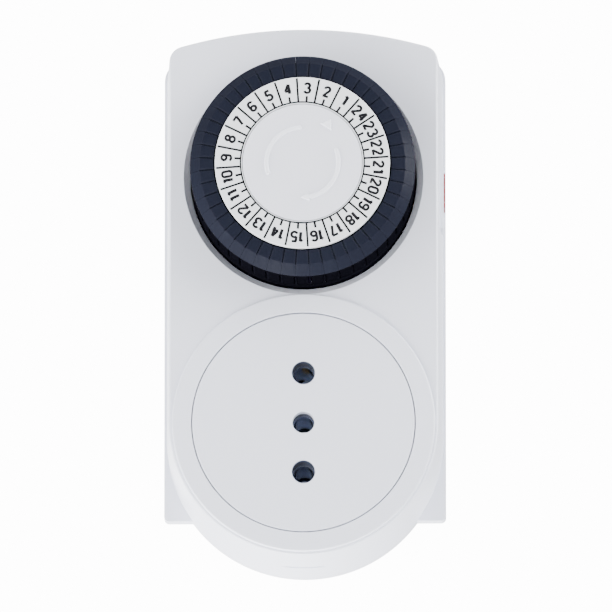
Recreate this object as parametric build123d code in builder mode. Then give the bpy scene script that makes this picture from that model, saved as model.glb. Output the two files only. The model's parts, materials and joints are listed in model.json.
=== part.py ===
from build123d import *
import os
from math import acos, atan2, cos, degrees, pi, radians, sin, sqrt, tan

# Plug in timer switch. Millimetres, +Z up, the user in front of it at -Y.
# Origin: the root of the earth pin on the flat back, which lies against the wall.
# A height is a distance in front of the wall, so a piece's place is (x, z) and its heights.

# ---- Housing -------------------------------------------------------------------------
wall = 2.0
body_depth = 27.5  # back to front face
parting_depth = 4.0  # depth of the rear cover
draft_angle = 2.6  # side walls of the front cover, degrees
side_margin = 4.15  # front face beside the dial's bezel
top_margin = 8.65  # front face above the dial's bezel
arch_radius = 114.0
top_corner_radius = 4.0
edge_round = 0.6
tray_overhang = 0.7  # rear cover beyond the front cover
tray_drop = 19.2  # lower edge of the rear cover below the earth pin
tray_corner_radius = 1.3
tray_edge_round = 0.4
lip_height = 2.0
lip_thickness = 1.2
lip_clearance = 0.2
grip_width = 17.0  # thumb notch under the boss
grip_height = 1.2
grip_depth = 0.5
grip_level = 13.3

# ---- Socket --------------------------------------------------------------------------
boss_inset = 0.75  # boss inside the edge of the front face
boss_rise = 1.0
boss_round = 0.5
boss_land = 5.25  # boss beside the plate
plate_gap = 0.35
plate_thickness = 3.0
plate_seat = 1.9  # width of the ledge under the plate's rim
seat_ring_wall = 2.2
seat_ring_depth = 5.0
pin_pitch = 13.0
socket_hole_radius = 2.84
contact_radius = 2.55
contact_wall = 0.6
contact_length = 15.5
contact_slit = 0.7
contact_slit_length = 10.0
holder_clearance = 0.12
holder_wall = 2.4
holder_floor = 0.8
holder_foot_radius = 1.6
plate_play = 0.4  # between the holder and the plate

# ---- Plug ----------------------------------------------------------------------------
pin_radius = 2.5
pin_length = 19.0
pin_tip = 1.0
pin_neck_radius = 2.0
sleeve_length = 10.0
pin_collar_radius = 2.9  # where the pin sits in the cover's wall
pin_head_radius = 3.4
pin_head_height = 2.0
bar_thickness = 0.8
bar_width = 4.0
bar_climb = 19.5  # from the line pin up to where the bars turn towards the switch

# ---- Dial ----------------------------------------------------------------------------
dial_radius = 29.0
dial_to_boss = 0.5  # between the bezel and the boss
dial_reach = 17.1  # hour ring in front of the front face
bezel_width = 1.2
bezel_depth = 0.45
well_clearance = 0.25
well_wall = 1.6
well_depth = 6.0
tappet_ring_width = 6.5
hour_ring_width = 7.0
hour_ring_thickness = 1.6
cap_gap = 0.15
cap_rise = 0.15
cap_thickness = 2.0
cap_hub_radius = 5.0
cap_hub_length = 6.5
emboss = 0.35
pointer_angle = 57.0  # direction of the fixed pointer, from +X towards +Z, degrees
pointer_inset = 4.35  # foot of the pointer inside the cap's edge
pointer_length = 2.6
pointer_half_width = 1.75
arc_inset = 6.1  # middle of the arcs inside the cap's edge
arc_width = 1.15
left_arc_start = 90.0
left_arc_sweep = 107.0
right_arc_start = -88.0
right_arc_sweep = 108.0

hours = 24
tappets_per_hour = 2
first_hour_angle = 56.2  # centre of hour 1 on the dial at rest, degrees
tappet_gap = 0.4  # between the hour ring and the tappets
tappet_set_back = 1.1  # tappet fronts behind the hour ring
tappet_travel = 3.0
tappet_slope = 3.3
tappet_slope_width = 2.6
tappet_rim = 1.2
tappet_joint = 0.25
tappet_edge = 0.3
web_thickness = 0.5
web_clearance = 0.12
web_set_back = 0.6  # from the dial's edge
web_head_gap = 0.3
rim_thickness = 0.6
rim_set_back = 0.2
rim_height = 6.0
rim_clearance = 0.2
drum_wall = 2.0
floor_thickness = 2.0
foot_recess = 1.0
feeler_gap = 0.3

# ---- Gear train and spindle ----------------------------------------------------------
gear_inset = 5.0  # pitch circle of the dial gear inside the dial's edge
pressure_angle = 20.0
addendum = 0.8  # tooth height outside the pitch circle, in modules
dedendum = 1.15
backlash = 0.12
dial_teeth = 96
pinion_teeth = 16
wheel_teeth = 40
motor_teeth = 12
idler_angle = 225.9  # dial axis to idler axis, degrees from +X towards +Z
motor_angle = 75.0  # idler axis to motor pinion axis
gear_thickness = 2.4
gear_play = 0.4
running_gap = 0.06
window_radius = 4.0
window_circle = 15.0
window_count = 6
spindle_radius = 3.0
spindle_flange_radius = 5.5
spindle_flange_thickness = 0.5
hub_radius = 5.0
hub_length = 9.4
clip_radius = 5.2
clip_thickness = 0.8
clip_gap = 0.2
clip_groove = 0.4
clip_slot = 2.2
spring_radius = 14.0
spring_thickness = 0.3
spring_slots = 6
arbor_radius = 0.8
chassis_thickness = 1.6
chassis_height = 14.0
chassis_side_gap = 4.1  # left edge inside the edge of the front face
chassis_lever_gap = 5.5  # right edge beside the middle of the lever
chassis_foot_inset = 2.2  # lower edge inside the dial's edge
chassis_screw_gap = 0.8  # upper edge below the upper screw bosses
chassis_corner = 3.0
pinion_hole_clearance = 0.5
post_radius = 3.0
motor_post_gap = 14.0  # upper left post beside the motor's axis
motor_post_drop = 3.8  # and below the chassis plate's upper edge
upper_post_x = 15.0
upper_post_drop = 3.3
lower_post_x = 15.5
lower_post_rise = 4.0  # above the chassis plate's lower edge
side_post_inset = 3.5  # inside the chassis plate's left edge
side_post_drop = 7.3  # below the dial axis

# ---- Motor ---------------------------------------------------------------------------
motor_x = -10.0
motor_rise = 6.2  # above the dial axis
motor_radius = 16.0
motor_seat = 0.3
motor_sheet = 0.8
can_height = 5.6
gearbox_height = 3.1
gearbox_radius = 17.4
bobbin_radius = 8.0
bobbin_wall = 0.6
coil_gap = 0.6  # between the winding and the can's wall
rotor_radius = 7.0
rotor_gap = 0.4
shaft_radius = 0.75
motor_ring_wall = 1.2
motor_ring_height = 2.5
lead_radius = 0.6
lead_spread = 2.5
lead_level = 6.4
lead_straight = 9.0
lead_bend = 4.0

# ---- Feeler lever and switch ---------------------------------------------------------
lever_inset = 2.5  # middle of the lever inside the dial's edge
lever_width = 3.6
lever_thickness = 1.6
lever_arm = 18.0  # pivot to nose
lever_tail = 8.0
lever_level = 12.2
lever_hub_radius = 1.9
nose_width = 1.4
nose_radial = 2.4
pivot_pin_radius = 0.8
ear_thickness = 1.6
ear_gap = 0.3
ear_width = 5.0
plunger_arm = 8.0  # pivot to plunger
plunger_radius = 1.0
plunger_gap = 0.1
plunger_out = 2.4
plunger_in = 2.0
plunger_room = 1.0
plunger_offset = 1.5  # plunger below the middle of the switch
switch_width = 6.0
switch_length = 13.0
switch_seat = 0.3
terminal_length = 5.0
terminal_width = 3.0
lever_spring_radius = 1.4
lever_spring_wire = 0.25
lever_spring_turns = 5

# ---- Override slide ------------------------------------------------------------------
slot_below = 9.4  # lower end of the slot below the dial axis
slot_length = 14.3
slot_width = 7.0
slot_level = 12.5  # height of the slot's middle
slider_length = 9.0
slider_play = 0.3
slider_out = 1.1  # proud of the side wall
slider_flange = 1.5
flange_thickness = 1.5
grip_ribs = 4
grip_rib = 0.4
guide_wall = 1.2

# ---- Screws --------------------------------------------------------------------------
screw_radius = 1.5
screw_head_radius = 2.7
screw_head_height = 2.0
screw_play = 0.25
screw_recess = 0.6
screw_slot = 0.8
screw_bite = 9.0
boss_wall = 1.5
upper_screw_inset = 5.3  # inside the side of the front face
upper_screw_drop = 9.3  # below the top of the arch
lower_screw_inset = 13.6
lower_screw_rise = 12.9  # above the lowest point of the front face
chassis_screw_radius = 1.1
chassis_screw_head = 2.2
chassis_screw_bite = 6.0

# ---- Worked out from the sizes above -------------------------------------------------
well_radius = dial_radius + well_clearance
bezel_radius = well_radius + bezel_width
hour_ring_radius = dial_radius - tappet_ring_width
hour_ring_bore = hour_ring_radius - hour_ring_width
cap_radius = hour_ring_bore - cap_gap
tappet_flat_radius = dial_radius - tappet_slope_width
web_radius = dial_radius - web_set_back
rim_radius = dial_radius - rim_set_back
pointer_base = cap_radius - pointer_inset
arc_radius = cap_radius - arc_inset

face_half_width = bezel_radius + side_margin
boss_radius = face_half_width - boss_inset
plate_radius = boss_radius - boss_land
dial_height = boss_radius + dial_to_boss + bezel_radius
arch_height = dial_height + bezel_radius + top_margin
lever_x = dial_radius - lever_inset
motor_z = dial_height + motor_rise
chassis_left = face_half_width - chassis_side_gap
chassis_right = lever_x - chassis_lever_gap
chassis_bottom = dial_height - dial_radius + chassis_foot_inset
slot_low = dial_height - slot_below
upper_screw_x = face_half_width - upper_screw_inset
upper_screw_z = arch_height - upper_screw_drop
chassis_top = upper_screw_z - screw_radius - boss_wall - chassis_screw_gap
lower_screw_x = face_half_width - lower_screw_inset
lower_screw_z = lower_screw_rise - face_half_width

side_growth = tan(radians(draft_angle))  # outward per unit of depth
parting_growth = (body_depth - parting_depth) * side_growth
inner_front = body_depth - wall
boss_front = body_depth + boss_rise
plate_back = boss_front - plate_thickness
plate_opening = plate_radius + plate_gap
seat_radius = plate_opening - plate_seat
seat_back = plate_back - seat_ring_depth

hour_ring_front = body_depth + dial_reach
hour_ring_back = hour_ring_front - hour_ring_thickness
cap_front = hour_ring_front + cap_rise
cap_back = cap_front - cap_thickness
cap_hub_back = cap_back - cap_hub_length

tappet_pitch = 360.0 / (hours * tappets_per_hour)
tappet_front = hour_ring_front - tappet_set_back
tappet_shoulder = tappet_front - tappet_slope
head_back = tappet_shoulder - tappet_rim
web_top = head_back - tappet_travel - web_head_gap
tappet_inner = hour_ring_radius + tappet_gap
foot_radius = rim_radius - rim_thickness - rim_clearance

chassis_front = chassis_height + chassis_thickness
hub_back = chassis_front + spindle_flange_thickness + clip_gap / 2
gear_back = hub_back
gear_front = gear_back + gear_thickness
foot_pressed = gear_front + gear_play
foot_out = foot_pressed + tappet_travel
drum_back = foot_out - foot_recess
floor_front = drum_back + floor_thickness
hub_front = hub_back + hub_length
clip_back = hub_front + clip_gap
clip_front = clip_back + clip_thickness
spindle_front = cap_back - clip_gap
step_height = drum_back + rim_height + tappet_travel + web_head_gap

dial_pitch_radius = dial_radius - gear_inset
gear_module = 2 * dial_pitch_radius / dial_teeth
pinion_pitch_radius = gear_module * pinion_teeth / 2
wheel_pitch_radius = gear_module * wheel_teeth / 2
motor_pitch_radius = gear_module * motor_teeth / 2
idler_distance = dial_pitch_radius + pinion_pitch_radius
motor_distance = wheel_pitch_radius + motor_pitch_radius
idler_x = idler_distance * cos(radians(idler_angle))
idler_z = dial_height + idler_distance * sin(radians(idler_angle))
output_x = idler_x + motor_distance * cos(radians(motor_angle))
output_z = idler_z + motor_distance * sin(radians(motor_angle))

can_back = wall + motor_seat
can_front = can_back + can_height
coil_radius = motor_radius - motor_sheet - coil_gap
gearbox_front = can_front + gearbox_height
wheel_back = gearbox_front + gear_play
wheel_front = chassis_height - gear_play
pinion_front = foot_pressed - gear_play

lever_front = lever_level + lever_thickness
pivot_z = dial_height - lever_arm
pivot_level = lever_level + lever_thickness / 2
nose_front = foot_pressed - feeler_gap
plunger_z = pivot_z + plunger_arm
switch_front = lever_level - plunger_gap - plunger_out
switch_back = wall + switch_seat
switch_x = lever_x
switch_z = plunger_z + plunger_offset

slot_middle = slot_low + slot_length / 2
slider_middle = slot_low + slot_length - slider_play - slider_length / 2
side_at_slot = face_half_width + (body_depth - slot_level) * side_growth
inner_side = face_half_width + (body_depth - slot_level - slot_width) * side_growth - wall
flange_side = inner_side - slider_play
guide_side = flange_side - flange_thickness - slider_play

holder_back = parting_depth + bar_thickness + slider_play
load_bar_back = holder_back + holder_floor
tube_back = load_bar_back + bar_thickness
tube_front = tube_back + contact_length
holder_front = plate_back - plate_play
tube_radius = contact_radius + contact_wall
bar_bend_z = pin_pitch + bar_climb
pin_head_front = pin_head_height + wall

dial_axis = Axis((0, 0, dial_height), (0, -1, 0))
pin_places = [(0, pin_pitch), (0, 0), (0, -pin_pitch)]
live_places = [(0, pin_pitch), (0, -pin_pitch)]
housing_screw_places = [
    (-upper_screw_x, upper_screw_z),
    (upper_screw_x, upper_screw_z),
    (-lower_screw_x, lower_screw_z),
    (lower_screw_x, lower_screw_z),
]
chassis_post_places = [
    (motor_x - motor_post_gap, chassis_top - motor_post_drop),
    (upper_post_x, chassis_top - upper_post_drop),
    (lower_post_x, chassis_bottom + lower_post_rise),
    (side_post_inset - chassis_left, dial_height - side_post_drop),
]


# ---- Building steps ------------------------------------------------------------------
def front(height):
    """Plane that faces the user, at a height in front of the wall; its y is up."""
    return Plane.XZ.offset(height)


def bar(places, radius, low, high, mode=Mode.ADD):
    """Round bars at the (x, z) places, from one height to another."""
    with BuildSketch(front(low)) as section:
        with Locations(*places):
            Circle(radius)
    extrude(section.sketch, amount=high - low, mode=mode)


def block(x, z, width, length, low, high, mode=Mode.ADD):
    """Block centred on (x, z), from one height to another."""
    with BuildSketch(front(low)) as section:
        with Locations((x, z)):
            Rectangle(width, length)
    extrude(section.sketch, amount=high - low, mode=mode)


def tube(x, z, outer, inner, low, high):
    """Round tube about (x, z), from one height to another."""
    with BuildSketch(front(low)) as section:
        with Locations((x, z)):
            Circle(outer)
            Circle(inner, mode=Mode.SUBTRACT)
    extrude(section.sketch, amount=high - low)


def body_outline(growth):
    """Front face outline, moved outwards by growth: an arch above, a half circle below."""
    half = face_half_width + growth
    top = arch_height + growth
    radius = arch_radius + growth
    shoulder = top - radius + sqrt(radius**2 - half**2)
    with BuildLine() as outline:
        ThreePointArc((-half, shoulder), (0, top), (half, shoulder))
        Line((half, shoulder), (half, 0))
        ThreePointArc((half, 0), (0, -half), (-half, 0))
        Line((-half, 0), (-half, shoulder))
    make_face(outline.edges())
    fillet(vertices().group_by(Axis.Y)[-1], top_corner_radius + growth)


def tray_outline(growth):
    """Rear cover outline: the arch above, square corners below."""
    half = face_half_width + growth
    top = arch_height + growth
    radius = arch_radius + growth
    shoulder = top - radius + sqrt(radius**2 - half**2)
    with BuildLine() as outline:
        ThreePointArc((-half, shoulder), (0, top), (half, shoulder))
        Polyline((half, shoulder), (half, -tray_drop), (-half, -tray_drop), (-half, shoulder))
    make_face(outline.edges())
    fillet(vertices().group_by(Axis.Y)[-1], top_corner_radius + growth)
    fillet(vertices().group_by(Axis.Y)[0], tray_corner_radius)


def gear_outline(teeth, tooth_angle):
    """Involute gear with the middle of one tooth at tooth_angle."""
    pitch_radius = gear_module * teeth / 2
    base_radius = pitch_radius * cos(radians(pressure_angle))
    tip_radius = pitch_radius + addendum * gear_module
    root_radius = pitch_radius - dedendum * gear_module
    pitch_half = pi / (2 * teeth) - backlash / (4 * pitch_radius)
    pitch_involute = tan(radians(pressure_angle)) - radians(pressure_angle)

    def flank(radius):
        """Half the tooth's angle at a radius."""
        roll = acos(min(1.0, base_radius / radius))
        return pitch_half + pitch_involute - (tan(roll) - roll)

    start_radius = max(base_radius, root_radius)
    flank_radii = [root_radius * cos(pi / teeth), start_radius, pitch_radius, tip_radius]
    half_angles = [flank(max(radius, start_radius)) for radius in flank_radii]
    side = [(radius * cos(half), radius * sin(half)) for radius, half in zip(flank_radii, half_angles)]
    other_side = [(x, -y) for x, y in reversed(side)]
    Circle(root_radius)
    with PolarLocations(0, teeth, start_angle=tooth_angle):
        Polygon(*side, *other_side, align=None)


# ---- Housing -------------------------------------------------------------------------
with BuildPart() as front_cover:
    with BuildSketch(front(parting_depth)):
        body_outline(parting_growth)
    extrude(amount=body_depth - parting_depth, taper=draft_angle)
    fillet(faces().sort_by(Axis.Y)[0].edges(), edge_round)
    with BuildSketch(front(parting_depth)):
        body_outline(parting_growth - wall)
    extrude(amount=inner_front - parting_depth, taper=draft_angle, mode=Mode.SUBTRACT)
    # raised round boss, with a stepped ring behind it that seats the socket plate
    bar([(0, 0)], boss_radius, inner_front, boss_front)
    fillet(faces().sort_by(Axis.Y)[0].edges(), boss_round)
    tube(0, 0, plate_opening + seat_ring_wall, seat_radius, seat_back, inner_front)
    bar([(0, 0)], seat_radius, seat_back, boss_front, Mode.SUBTRACT)
    bar([(0, 0)], plate_opening, plate_back, boss_front, Mode.SUBTRACT)
    # well that the dial turns in, with a shallow bevel round its mouth
    tube(0, dial_height, well_radius + well_wall, well_radius, body_depth - well_depth, inner_front)
    bar([(0, dial_height)], well_radius, inner_front, body_depth, Mode.SUBTRACT)
    with BuildSketch(front(body_depth - bezel_depth)):
        with Locations((0, dial_height)):
            Circle(well_radius)
    with BuildSketch(front(body_depth)):
        with Locations((0, dial_height)):
            Circle(bezel_radius)
    loft(mode=Mode.SUBTRACT)
    # screw bosses, each with a pilot hole from behind
    screw_boss_radius = screw_radius + boss_wall
    screw_boss_back = parting_depth + lip_height + slider_play
    bar(housing_screw_places, screw_boss_radius, screw_boss_back, inner_front)
    bar(housing_screw_places, screw_radius, screw_boss_back, screw_boss_back + screw_bite + plate_play,
        Mode.SUBTRACT)
    # slot for the override slide
    slot_low_level = slot_level - slot_width / 2
    slot_high_level = slot_level + slot_width / 2
    block(side_at_slot, slot_middle, 3 * wall, slot_length, slot_low_level, slot_high_level, Mode.SUBTRACT)
    # thumb notch under the boss
    boss_bottom = face_half_width + (body_depth - grip_level) * side_growth
    block(0, -boss_bottom, grip_width, 2 * grip_depth, grip_level, grip_level + grip_height, Mode.SUBTRACT)
front_cover.part.label = "front_cover"

with BuildPart() as rear_cover:
    with BuildSketch(front(0)):
        tray_outline(parting_growth + tray_overhang)
    extrude(amount=parting_depth)
    fillet(faces().sort_by(Axis.Y)[-1].edges(), tray_edge_round)
    bar([(0, 0)], face_half_width + parting_growth, 0, parting_depth)
    with BuildSketch(front(wall)):
        body_outline(parting_growth - wall - lip_clearance)
    extrude(amount=parting_depth - wall + lip_height)
    with BuildSketch(front(wall)):
        body_outline(parting_growth - wall - lip_clearance - lip_thickness)
    extrude(amount=parting_depth - wall + lip_height, mode=Mode.SUBTRACT)
    # posts for the chassis, the screws, the idler arbor and the motor
    bar(chassis_post_places, post_radius, wall, chassis_height)
    bar(chassis_post_places, chassis_screw_radius, chassis_front - chassis_screw_bite - plate_play,
        chassis_height, Mode.SUBTRACT)
    bar(housing_screw_places, screw_head_radius + boss_wall, wall, parting_depth)
    bar(housing_screw_places, screw_boss_radius, wall, screw_boss_back - lip_clearance)
    bar([(idler_x, idler_z)], post_radius, wall, wheel_back - gear_play / 2)
    bar([(idler_x, idler_z)], arbor_radius, wall, wheel_back, Mode.SUBTRACT)
    tube(motor_x, motor_z, motor_radius + motor_seat + motor_ring_wall, motor_radius + motor_seat,
         wall, wall + motor_ring_height)
    # ears that carry the feeler lever's pin, with the pin's hole along x
    ear_inner = lever_width / 2 + ear_gap
    ear_front = pivot_level + ear_width / 2
    for side in (-1, 1):
        ear_x = lever_x + side * (ear_inner + ear_thickness / 2)
        block(ear_x, pivot_z, ear_thickness, ear_width, wall, ear_front)
    with BuildSketch(Plane.YZ.offset(lever_x - ear_inner - ear_thickness)):
        with Locations((-pivot_level, pivot_z)):
            Circle(pivot_pin_radius)
    extrude(amount=2 * (ear_inner + ear_thickness), mode=Mode.SUBTRACT)
    # wall that guides the override slide, and feet under the contact holder
    block(guide_side - guide_wall / 2, slot_middle, guide_wall, slot_length + 2 * slider_flange,
          wall, slot_high_level + slider_flange)
    bar([(0, pin_pitch / 2), (0, -pin_pitch / 2)], holder_foot_radius, wall, holder_back)
    # pin holes and screw holes
    bar(pin_places, pin_collar_radius, 0, wall, Mode.SUBTRACT)
    bar(housing_screw_places, screw_radius + screw_play, 0, screw_boss_back, Mode.SUBTRACT)
    head_seat = screw_head_height + screw_recess
    bar(housing_screw_places, screw_head_radius + screw_play, 0, head_seat, Mode.SUBTRACT)
rear_cover.part.label = "rear_cover"

with BuildPart() as socket_plate:
    bar([(0, 0)], plate_radius, plate_back, boss_front)
    bar(pin_places, socket_hole_radius, plate_back, boss_front, Mode.SUBTRACT)
socket_plate.part.label = "socket_plate"


def screws(places, radius, head_radius, head_back, head_height, bite):
    """Slotted screws; a negative head height and bite point them at the user."""
    bar(places, head_radius, head_back, head_back + head_height)
    bar(places, radius, head_back, head_back + bite)
    for x, z in places:
        block(x, z, 2 * head_radius, screw_slot, head_back, head_back + head_height / 2, Mode.SUBTRACT)


with BuildPart() as housing_screws:
    screws(housing_screw_places, screw_radius, screw_head_radius, screw_recess, screw_head_height,
           screw_boss_back + screw_bite - screw_recess)
housing_screws.part.label = "housing_screws"

# ---- Chassis -------------------------------------------------------------------------
with BuildPart() as chassis_plate:
    with BuildSketch(front(chassis_height)):
        with Locations(((chassis_right - chassis_left) / 2, (chassis_top + chassis_bottom) / 2)):
            RectangleRounded(chassis_left + chassis_right, chassis_top - chassis_bottom, chassis_corner)
    extrude(amount=chassis_thickness)
    bar([(0, dial_height)], spindle_radius, chassis_height, chassis_front, Mode.SUBTRACT)
    pinion_tip = pinion_pitch_radius + addendum * gear_module
    pinion_hole = pinion_tip + pinion_hole_clearance
    shaft_hole = shaft_radius + pinion_hole_clearance
    bar([(idler_x, idler_z)], pinion_hole, chassis_height, chassis_front, Mode.SUBTRACT)
    bar([(output_x, output_z)], shaft_hole, chassis_height, chassis_front, Mode.SUBTRACT)
    bar(chassis_post_places, chassis_screw_radius, chassis_height, chassis_front, Mode.SUBTRACT)
chassis_plate.part.label = "chassis_plate"

with BuildPart() as chassis_screws:
    bar(chassis_post_places, chassis_screw_head, chassis_front, chassis_front + chassis_thickness)
    bar(chassis_post_places, chassis_screw_radius, chassis_front - chassis_screw_bite, chassis_front)
    for screw_x, screw_z in chassis_post_places:
        block(screw_x, screw_z, 2 * chassis_screw_head, screw_slot, chassis_front + chassis_thickness / 2,
              chassis_front + chassis_thickness, Mode.SUBTRACT)
chassis_screws.part.label = "chassis_screws"

with BuildPart() as dial_spindle:
    bar([(0, dial_height)], spindle_radius, chassis_height, spindle_front)
    bar([(0, dial_height)], spindle_flange_radius, chassis_front, chassis_front + spindle_flange_thickness)
    with BuildSketch(front(clip_back)):
        with Locations((0, dial_height)):
            Circle(spindle_radius)
            Circle(spindle_radius - clip_groove, mode=Mode.SUBTRACT)
    extrude(amount=clip_thickness, mode=Mode.SUBTRACT)
dial_spindle.part.label = "dial_spindle"

with BuildPart() as spindle_clip:
    tube(0, dial_height, clip_radius, spindle_radius - clip_groove, clip_back, clip_front)
    block(0, dial_height - clip_radius / 2, clip_slot, clip_radius, clip_back, clip_front, Mode.SUBTRACT)
spindle_clip.part.label = "spindle_clip"

with BuildPart() as pointer_cap:
    bar([(0, dial_height)], cap_radius, cap_back, cap_front)
    fillet(faces().sort_by(Axis.Y)[0].edges(), cap_gap)
    bar([(0, dial_height)], cap_hub_radius, cap_hub_back, cap_back)
    bar([(0, dial_height)], spindle_radius, cap_hub_back, spindle_front, Mode.SUBTRACT)
    with BuildSketch(front(cap_front)):
        with Locations(Location((0, dial_height, 0), (0, 0, pointer_angle))):
            Polygon((pointer_base, -pointer_half_width), (pointer_base + pointer_length, 0),
                    (pointer_base, pointer_half_width), align=None)
        with BuildLine():
            CenterArc((0, dial_height), arc_radius, left_arc_start, left_arc_sweep)
            CenterArc((0, dial_height), arc_radius, right_arc_start, right_arc_sweep)
        trace(line_width=arc_width)
        arc_end_z = dial_height - arc_radius
        Polygon((0, arc_end_z - arc_width), (0, arc_end_z + arc_width), (-2 * arc_width, arc_end_z),
                align=None)
    extrude(amount=emboss)
pointer_cap.part.label = "pointer_cap"

# ---- Dial ----------------------------------------------------------------------------
with BuildPart() as dial_ring:
    bar([(0, dial_height)], hour_ring_radius, drum_back, hour_ring_back)
    drum_inner = hour_ring_radius - drum_wall
    drum_mouth = cap_radius + drum_wall
    bar([(0, dial_height)], drum_inner, floor_front, hour_ring_back - drum_wall, Mode.SUBTRACT)
    bar([(0, dial_height)], drum_mouth, hour_ring_back - drum_wall, hour_ring_back, Mode.SUBTRACT)
    bar([(0, dial_height)], hub_radius, hub_back, hub_front)
    with BuildSketch(front(drum_back)):
        with Locations((0, dial_height)):
            web_root = hour_ring_radius - drum_wall / 2
            web_middle = (web_root + web_radius) / 2
            with PolarLocations(web_middle, hours * tappets_per_hour, start_angle=first_hour_angle):
                Rectangle(web_radius - web_root, web_thickness)
    extrude(amount=web_top - drum_back)
    tube(0, dial_height, rim_radius, rim_radius - rim_thickness, drum_back, drum_back + rim_height)
    bar([(0, dial_height)], spindle_radius + running_gap, hub_back, hub_front, Mode.SUBTRACT)
dial_ring.part.label = "dial_ring"

with BuildPart() as hour_ring:
    tube(0, dial_height, hour_ring_radius, hour_ring_bore, hour_ring_back, hour_ring_front)
    fillet(faces().sort_by(Axis.Y)[0].edges(), cap_gap)
hour_ring.part.label = "hour_ring"

# one tappet, along +X from the dial axis: a head that hides the webs and a stem between them
head_arc = tappet_pitch - degrees(tappet_joint / dial_radius)
stem_arc = tappet_pitch - degrees((web_thickness + 2 * web_clearance) / tappet_inner)
stem_radius = dial_radius - web_clearance
radial_plane = Plane(origin=(0, 0, dial_height), x_dir=(1, 0, 0), z_dir=(0, 0, 1))


def spun(arc, *points):
    """Turn a profile of (radius, height) points about the dial axis, centred on +X."""
    with BuildSketch(radial_plane.rotated((0, arc / 2, 0))) as profile:
        Polygon(*[(radius, -height) for radius, height in points], align=None)
    revolve(profile.sketch, axis=dial_axis, revolution_arc=arc)


with BuildPart() as tappet:
    spun(head_arc, (tappet_inner, head_back), (dial_radius, head_back), (dial_radius, tappet_shoulder),
         (tappet_flat_radius, tappet_front), (tappet_inner, tappet_front))
    face_edges = faces().sort_by(Axis.Y)[0].edges().filter_by(GeomType.LINE)
    chamfer(face_edges, tappet_edge)
    spun(stem_arc, (tappet_inner, foot_out), (foot_radius, foot_out), (foot_radius, step_height),
         (stem_radius, step_height), (stem_radius, head_back), (tappet_inner, head_back))

tappet_pairs = []
for hour in range(1, hours + 1):
    hour_angle = first_hour_angle + (hour - 1) * 360.0 / hours
    with BuildPart() as tappet_pair:
        for half_hour in range(tappets_per_hour):
            turn = hour_angle + (half_hour - (tappets_per_hour - 1) / 2) * tappet_pitch
            add(tappet.part.rotate(dial_axis, turn))
    tappet_pair.part.label = f"tappets_hour_{hour:02d}"
    tappet_pairs.append(tappet_pair.part)

with BuildPart() as dial_gear:
    with BuildSketch(front(gear_back)):
        with Locations((0, dial_height)):
            gear_outline(dial_teeth, idler_angle)
            Circle(hub_radius + running_gap, mode=Mode.SUBTRACT)
            with PolarLocations(window_circle, window_count):
                Circle(window_radius, mode=Mode.SUBTRACT)
    extrude(amount=gear_thickness)
dial_gear.part.label = "dial_gear"

with BuildPart() as clutch_spring:
    with BuildSketch(radial_plane):
        spring_bore = hub_radius + running_gap
        Polygon((spring_bore, -drum_back), (spring_radius, -gear_front - spring_thickness),
                (spring_radius, -gear_front), (spring_bore, -drum_back + spring_thickness), align=None)
    revolve(axis=dial_axis)
    with BuildSketch(front(gear_front)):
        with Locations((0, dial_height)):
            with PolarLocations(spring_radius, spring_slots):
                Circle(spring_radius / 4)
    extrude(amount=drum_back - gear_front, mode=Mode.SUBTRACT)
clutch_spring.part.label = "clutch_spring"

# ---- Gear train ----------------------------------------------------------------------
with BuildPart() as idler_gear:
    with BuildSketch(front(wheel_back)):
        with Locations((idler_x, idler_z)):
            gear_outline(wheel_teeth, motor_angle)
    extrude(amount=wheel_front - wheel_back)
    with BuildSketch(front(wheel_front)):
        with Locations((idler_x, idler_z)):
            gear_outline(pinion_teeth, idler_angle + 180 + 180 / pinion_teeth)
    extrude(amount=pinion_front - wheel_front)
    bar([(idler_x, idler_z)], arbor_radius + running_gap, wheel_back, pinion_front, Mode.SUBTRACT)
idler_gear.part.label = "idler_gear"

with BuildPart() as idler_arbor:
    bar([(idler_x, idler_z)], arbor_radius, wall, pinion_front)
idler_arbor.part.label = "idler_arbor"

# ---- Motor ---------------------------------------------------------------------------
with BuildPart() as motor_can:
    bar([(motor_x, motor_z)], motor_radius, can_back, can_front)
    bar([(motor_x, motor_z)], motor_radius - motor_sheet, can_back + motor_sheet, can_front, Mode.SUBTRACT)
motor_can.part.label = "motor_can"

with BuildPart() as motor_gearbox:
    bar([(motor_x, motor_z)], gearbox_radius, can_front, gearbox_front)
    shaft_bore = shaft_radius + running_gap
    bar([(output_x, output_z)], shaft_bore, can_front + motor_sheet, gearbox_front, Mode.SUBTRACT)
    bar([(motor_x, motor_z)], shaft_bore, can_front, can_front + 2 * motor_sheet, Mode.SUBTRACT)
motor_gearbox.part.label = "motor_gearbox"

coil_back = can_back + motor_sheet + rotor_gap / 2
coil_front = can_front - rotor_gap / 2
with BuildPart() as motor_bobbin:
    tube(motor_x, motor_z, bobbin_radius + bobbin_wall, bobbin_radius, coil_back, coil_front)
    tube(motor_x, motor_z, coil_radius, bobbin_radius, coil_back, coil_back + bobbin_wall)
    tube(motor_x, motor_z, coil_radius, bobbin_radius, coil_front - bobbin_wall, coil_front)
motor_bobbin.part.label = "motor_bobbin"

with BuildPart() as motor_winding:
    tube(motor_x, motor_z, coil_radius - bobbin_wall, bobbin_radius + bobbin_wall, coil_back + bobbin_wall,
         coil_front - bobbin_wall)
motor_winding.part.label = "motor_winding"

with BuildPart() as motor_rotor:
    bar([(motor_x, motor_z)], rotor_radius, coil_back + rotor_gap, coil_front - rotor_gap)
    bar([(motor_x, motor_z)], shaft_radius, coil_back, can_front + motor_sheet)
motor_rotor.part.label = "motor_rotor"

with BuildPart() as motor_pinion:
    with BuildSketch(front(wheel_back)):
        with Locations((output_x, output_z)):
            gear_outline(motor_teeth, motor_angle + 180 + 180 / motor_teeth)
    extrude(amount=wheel_front - wheel_back)
    bar([(output_x, output_z)], shaft_radius, can_front + 2 * motor_sheet, chassis_front)
motor_pinion.part.label = "motor_pinion"

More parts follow.
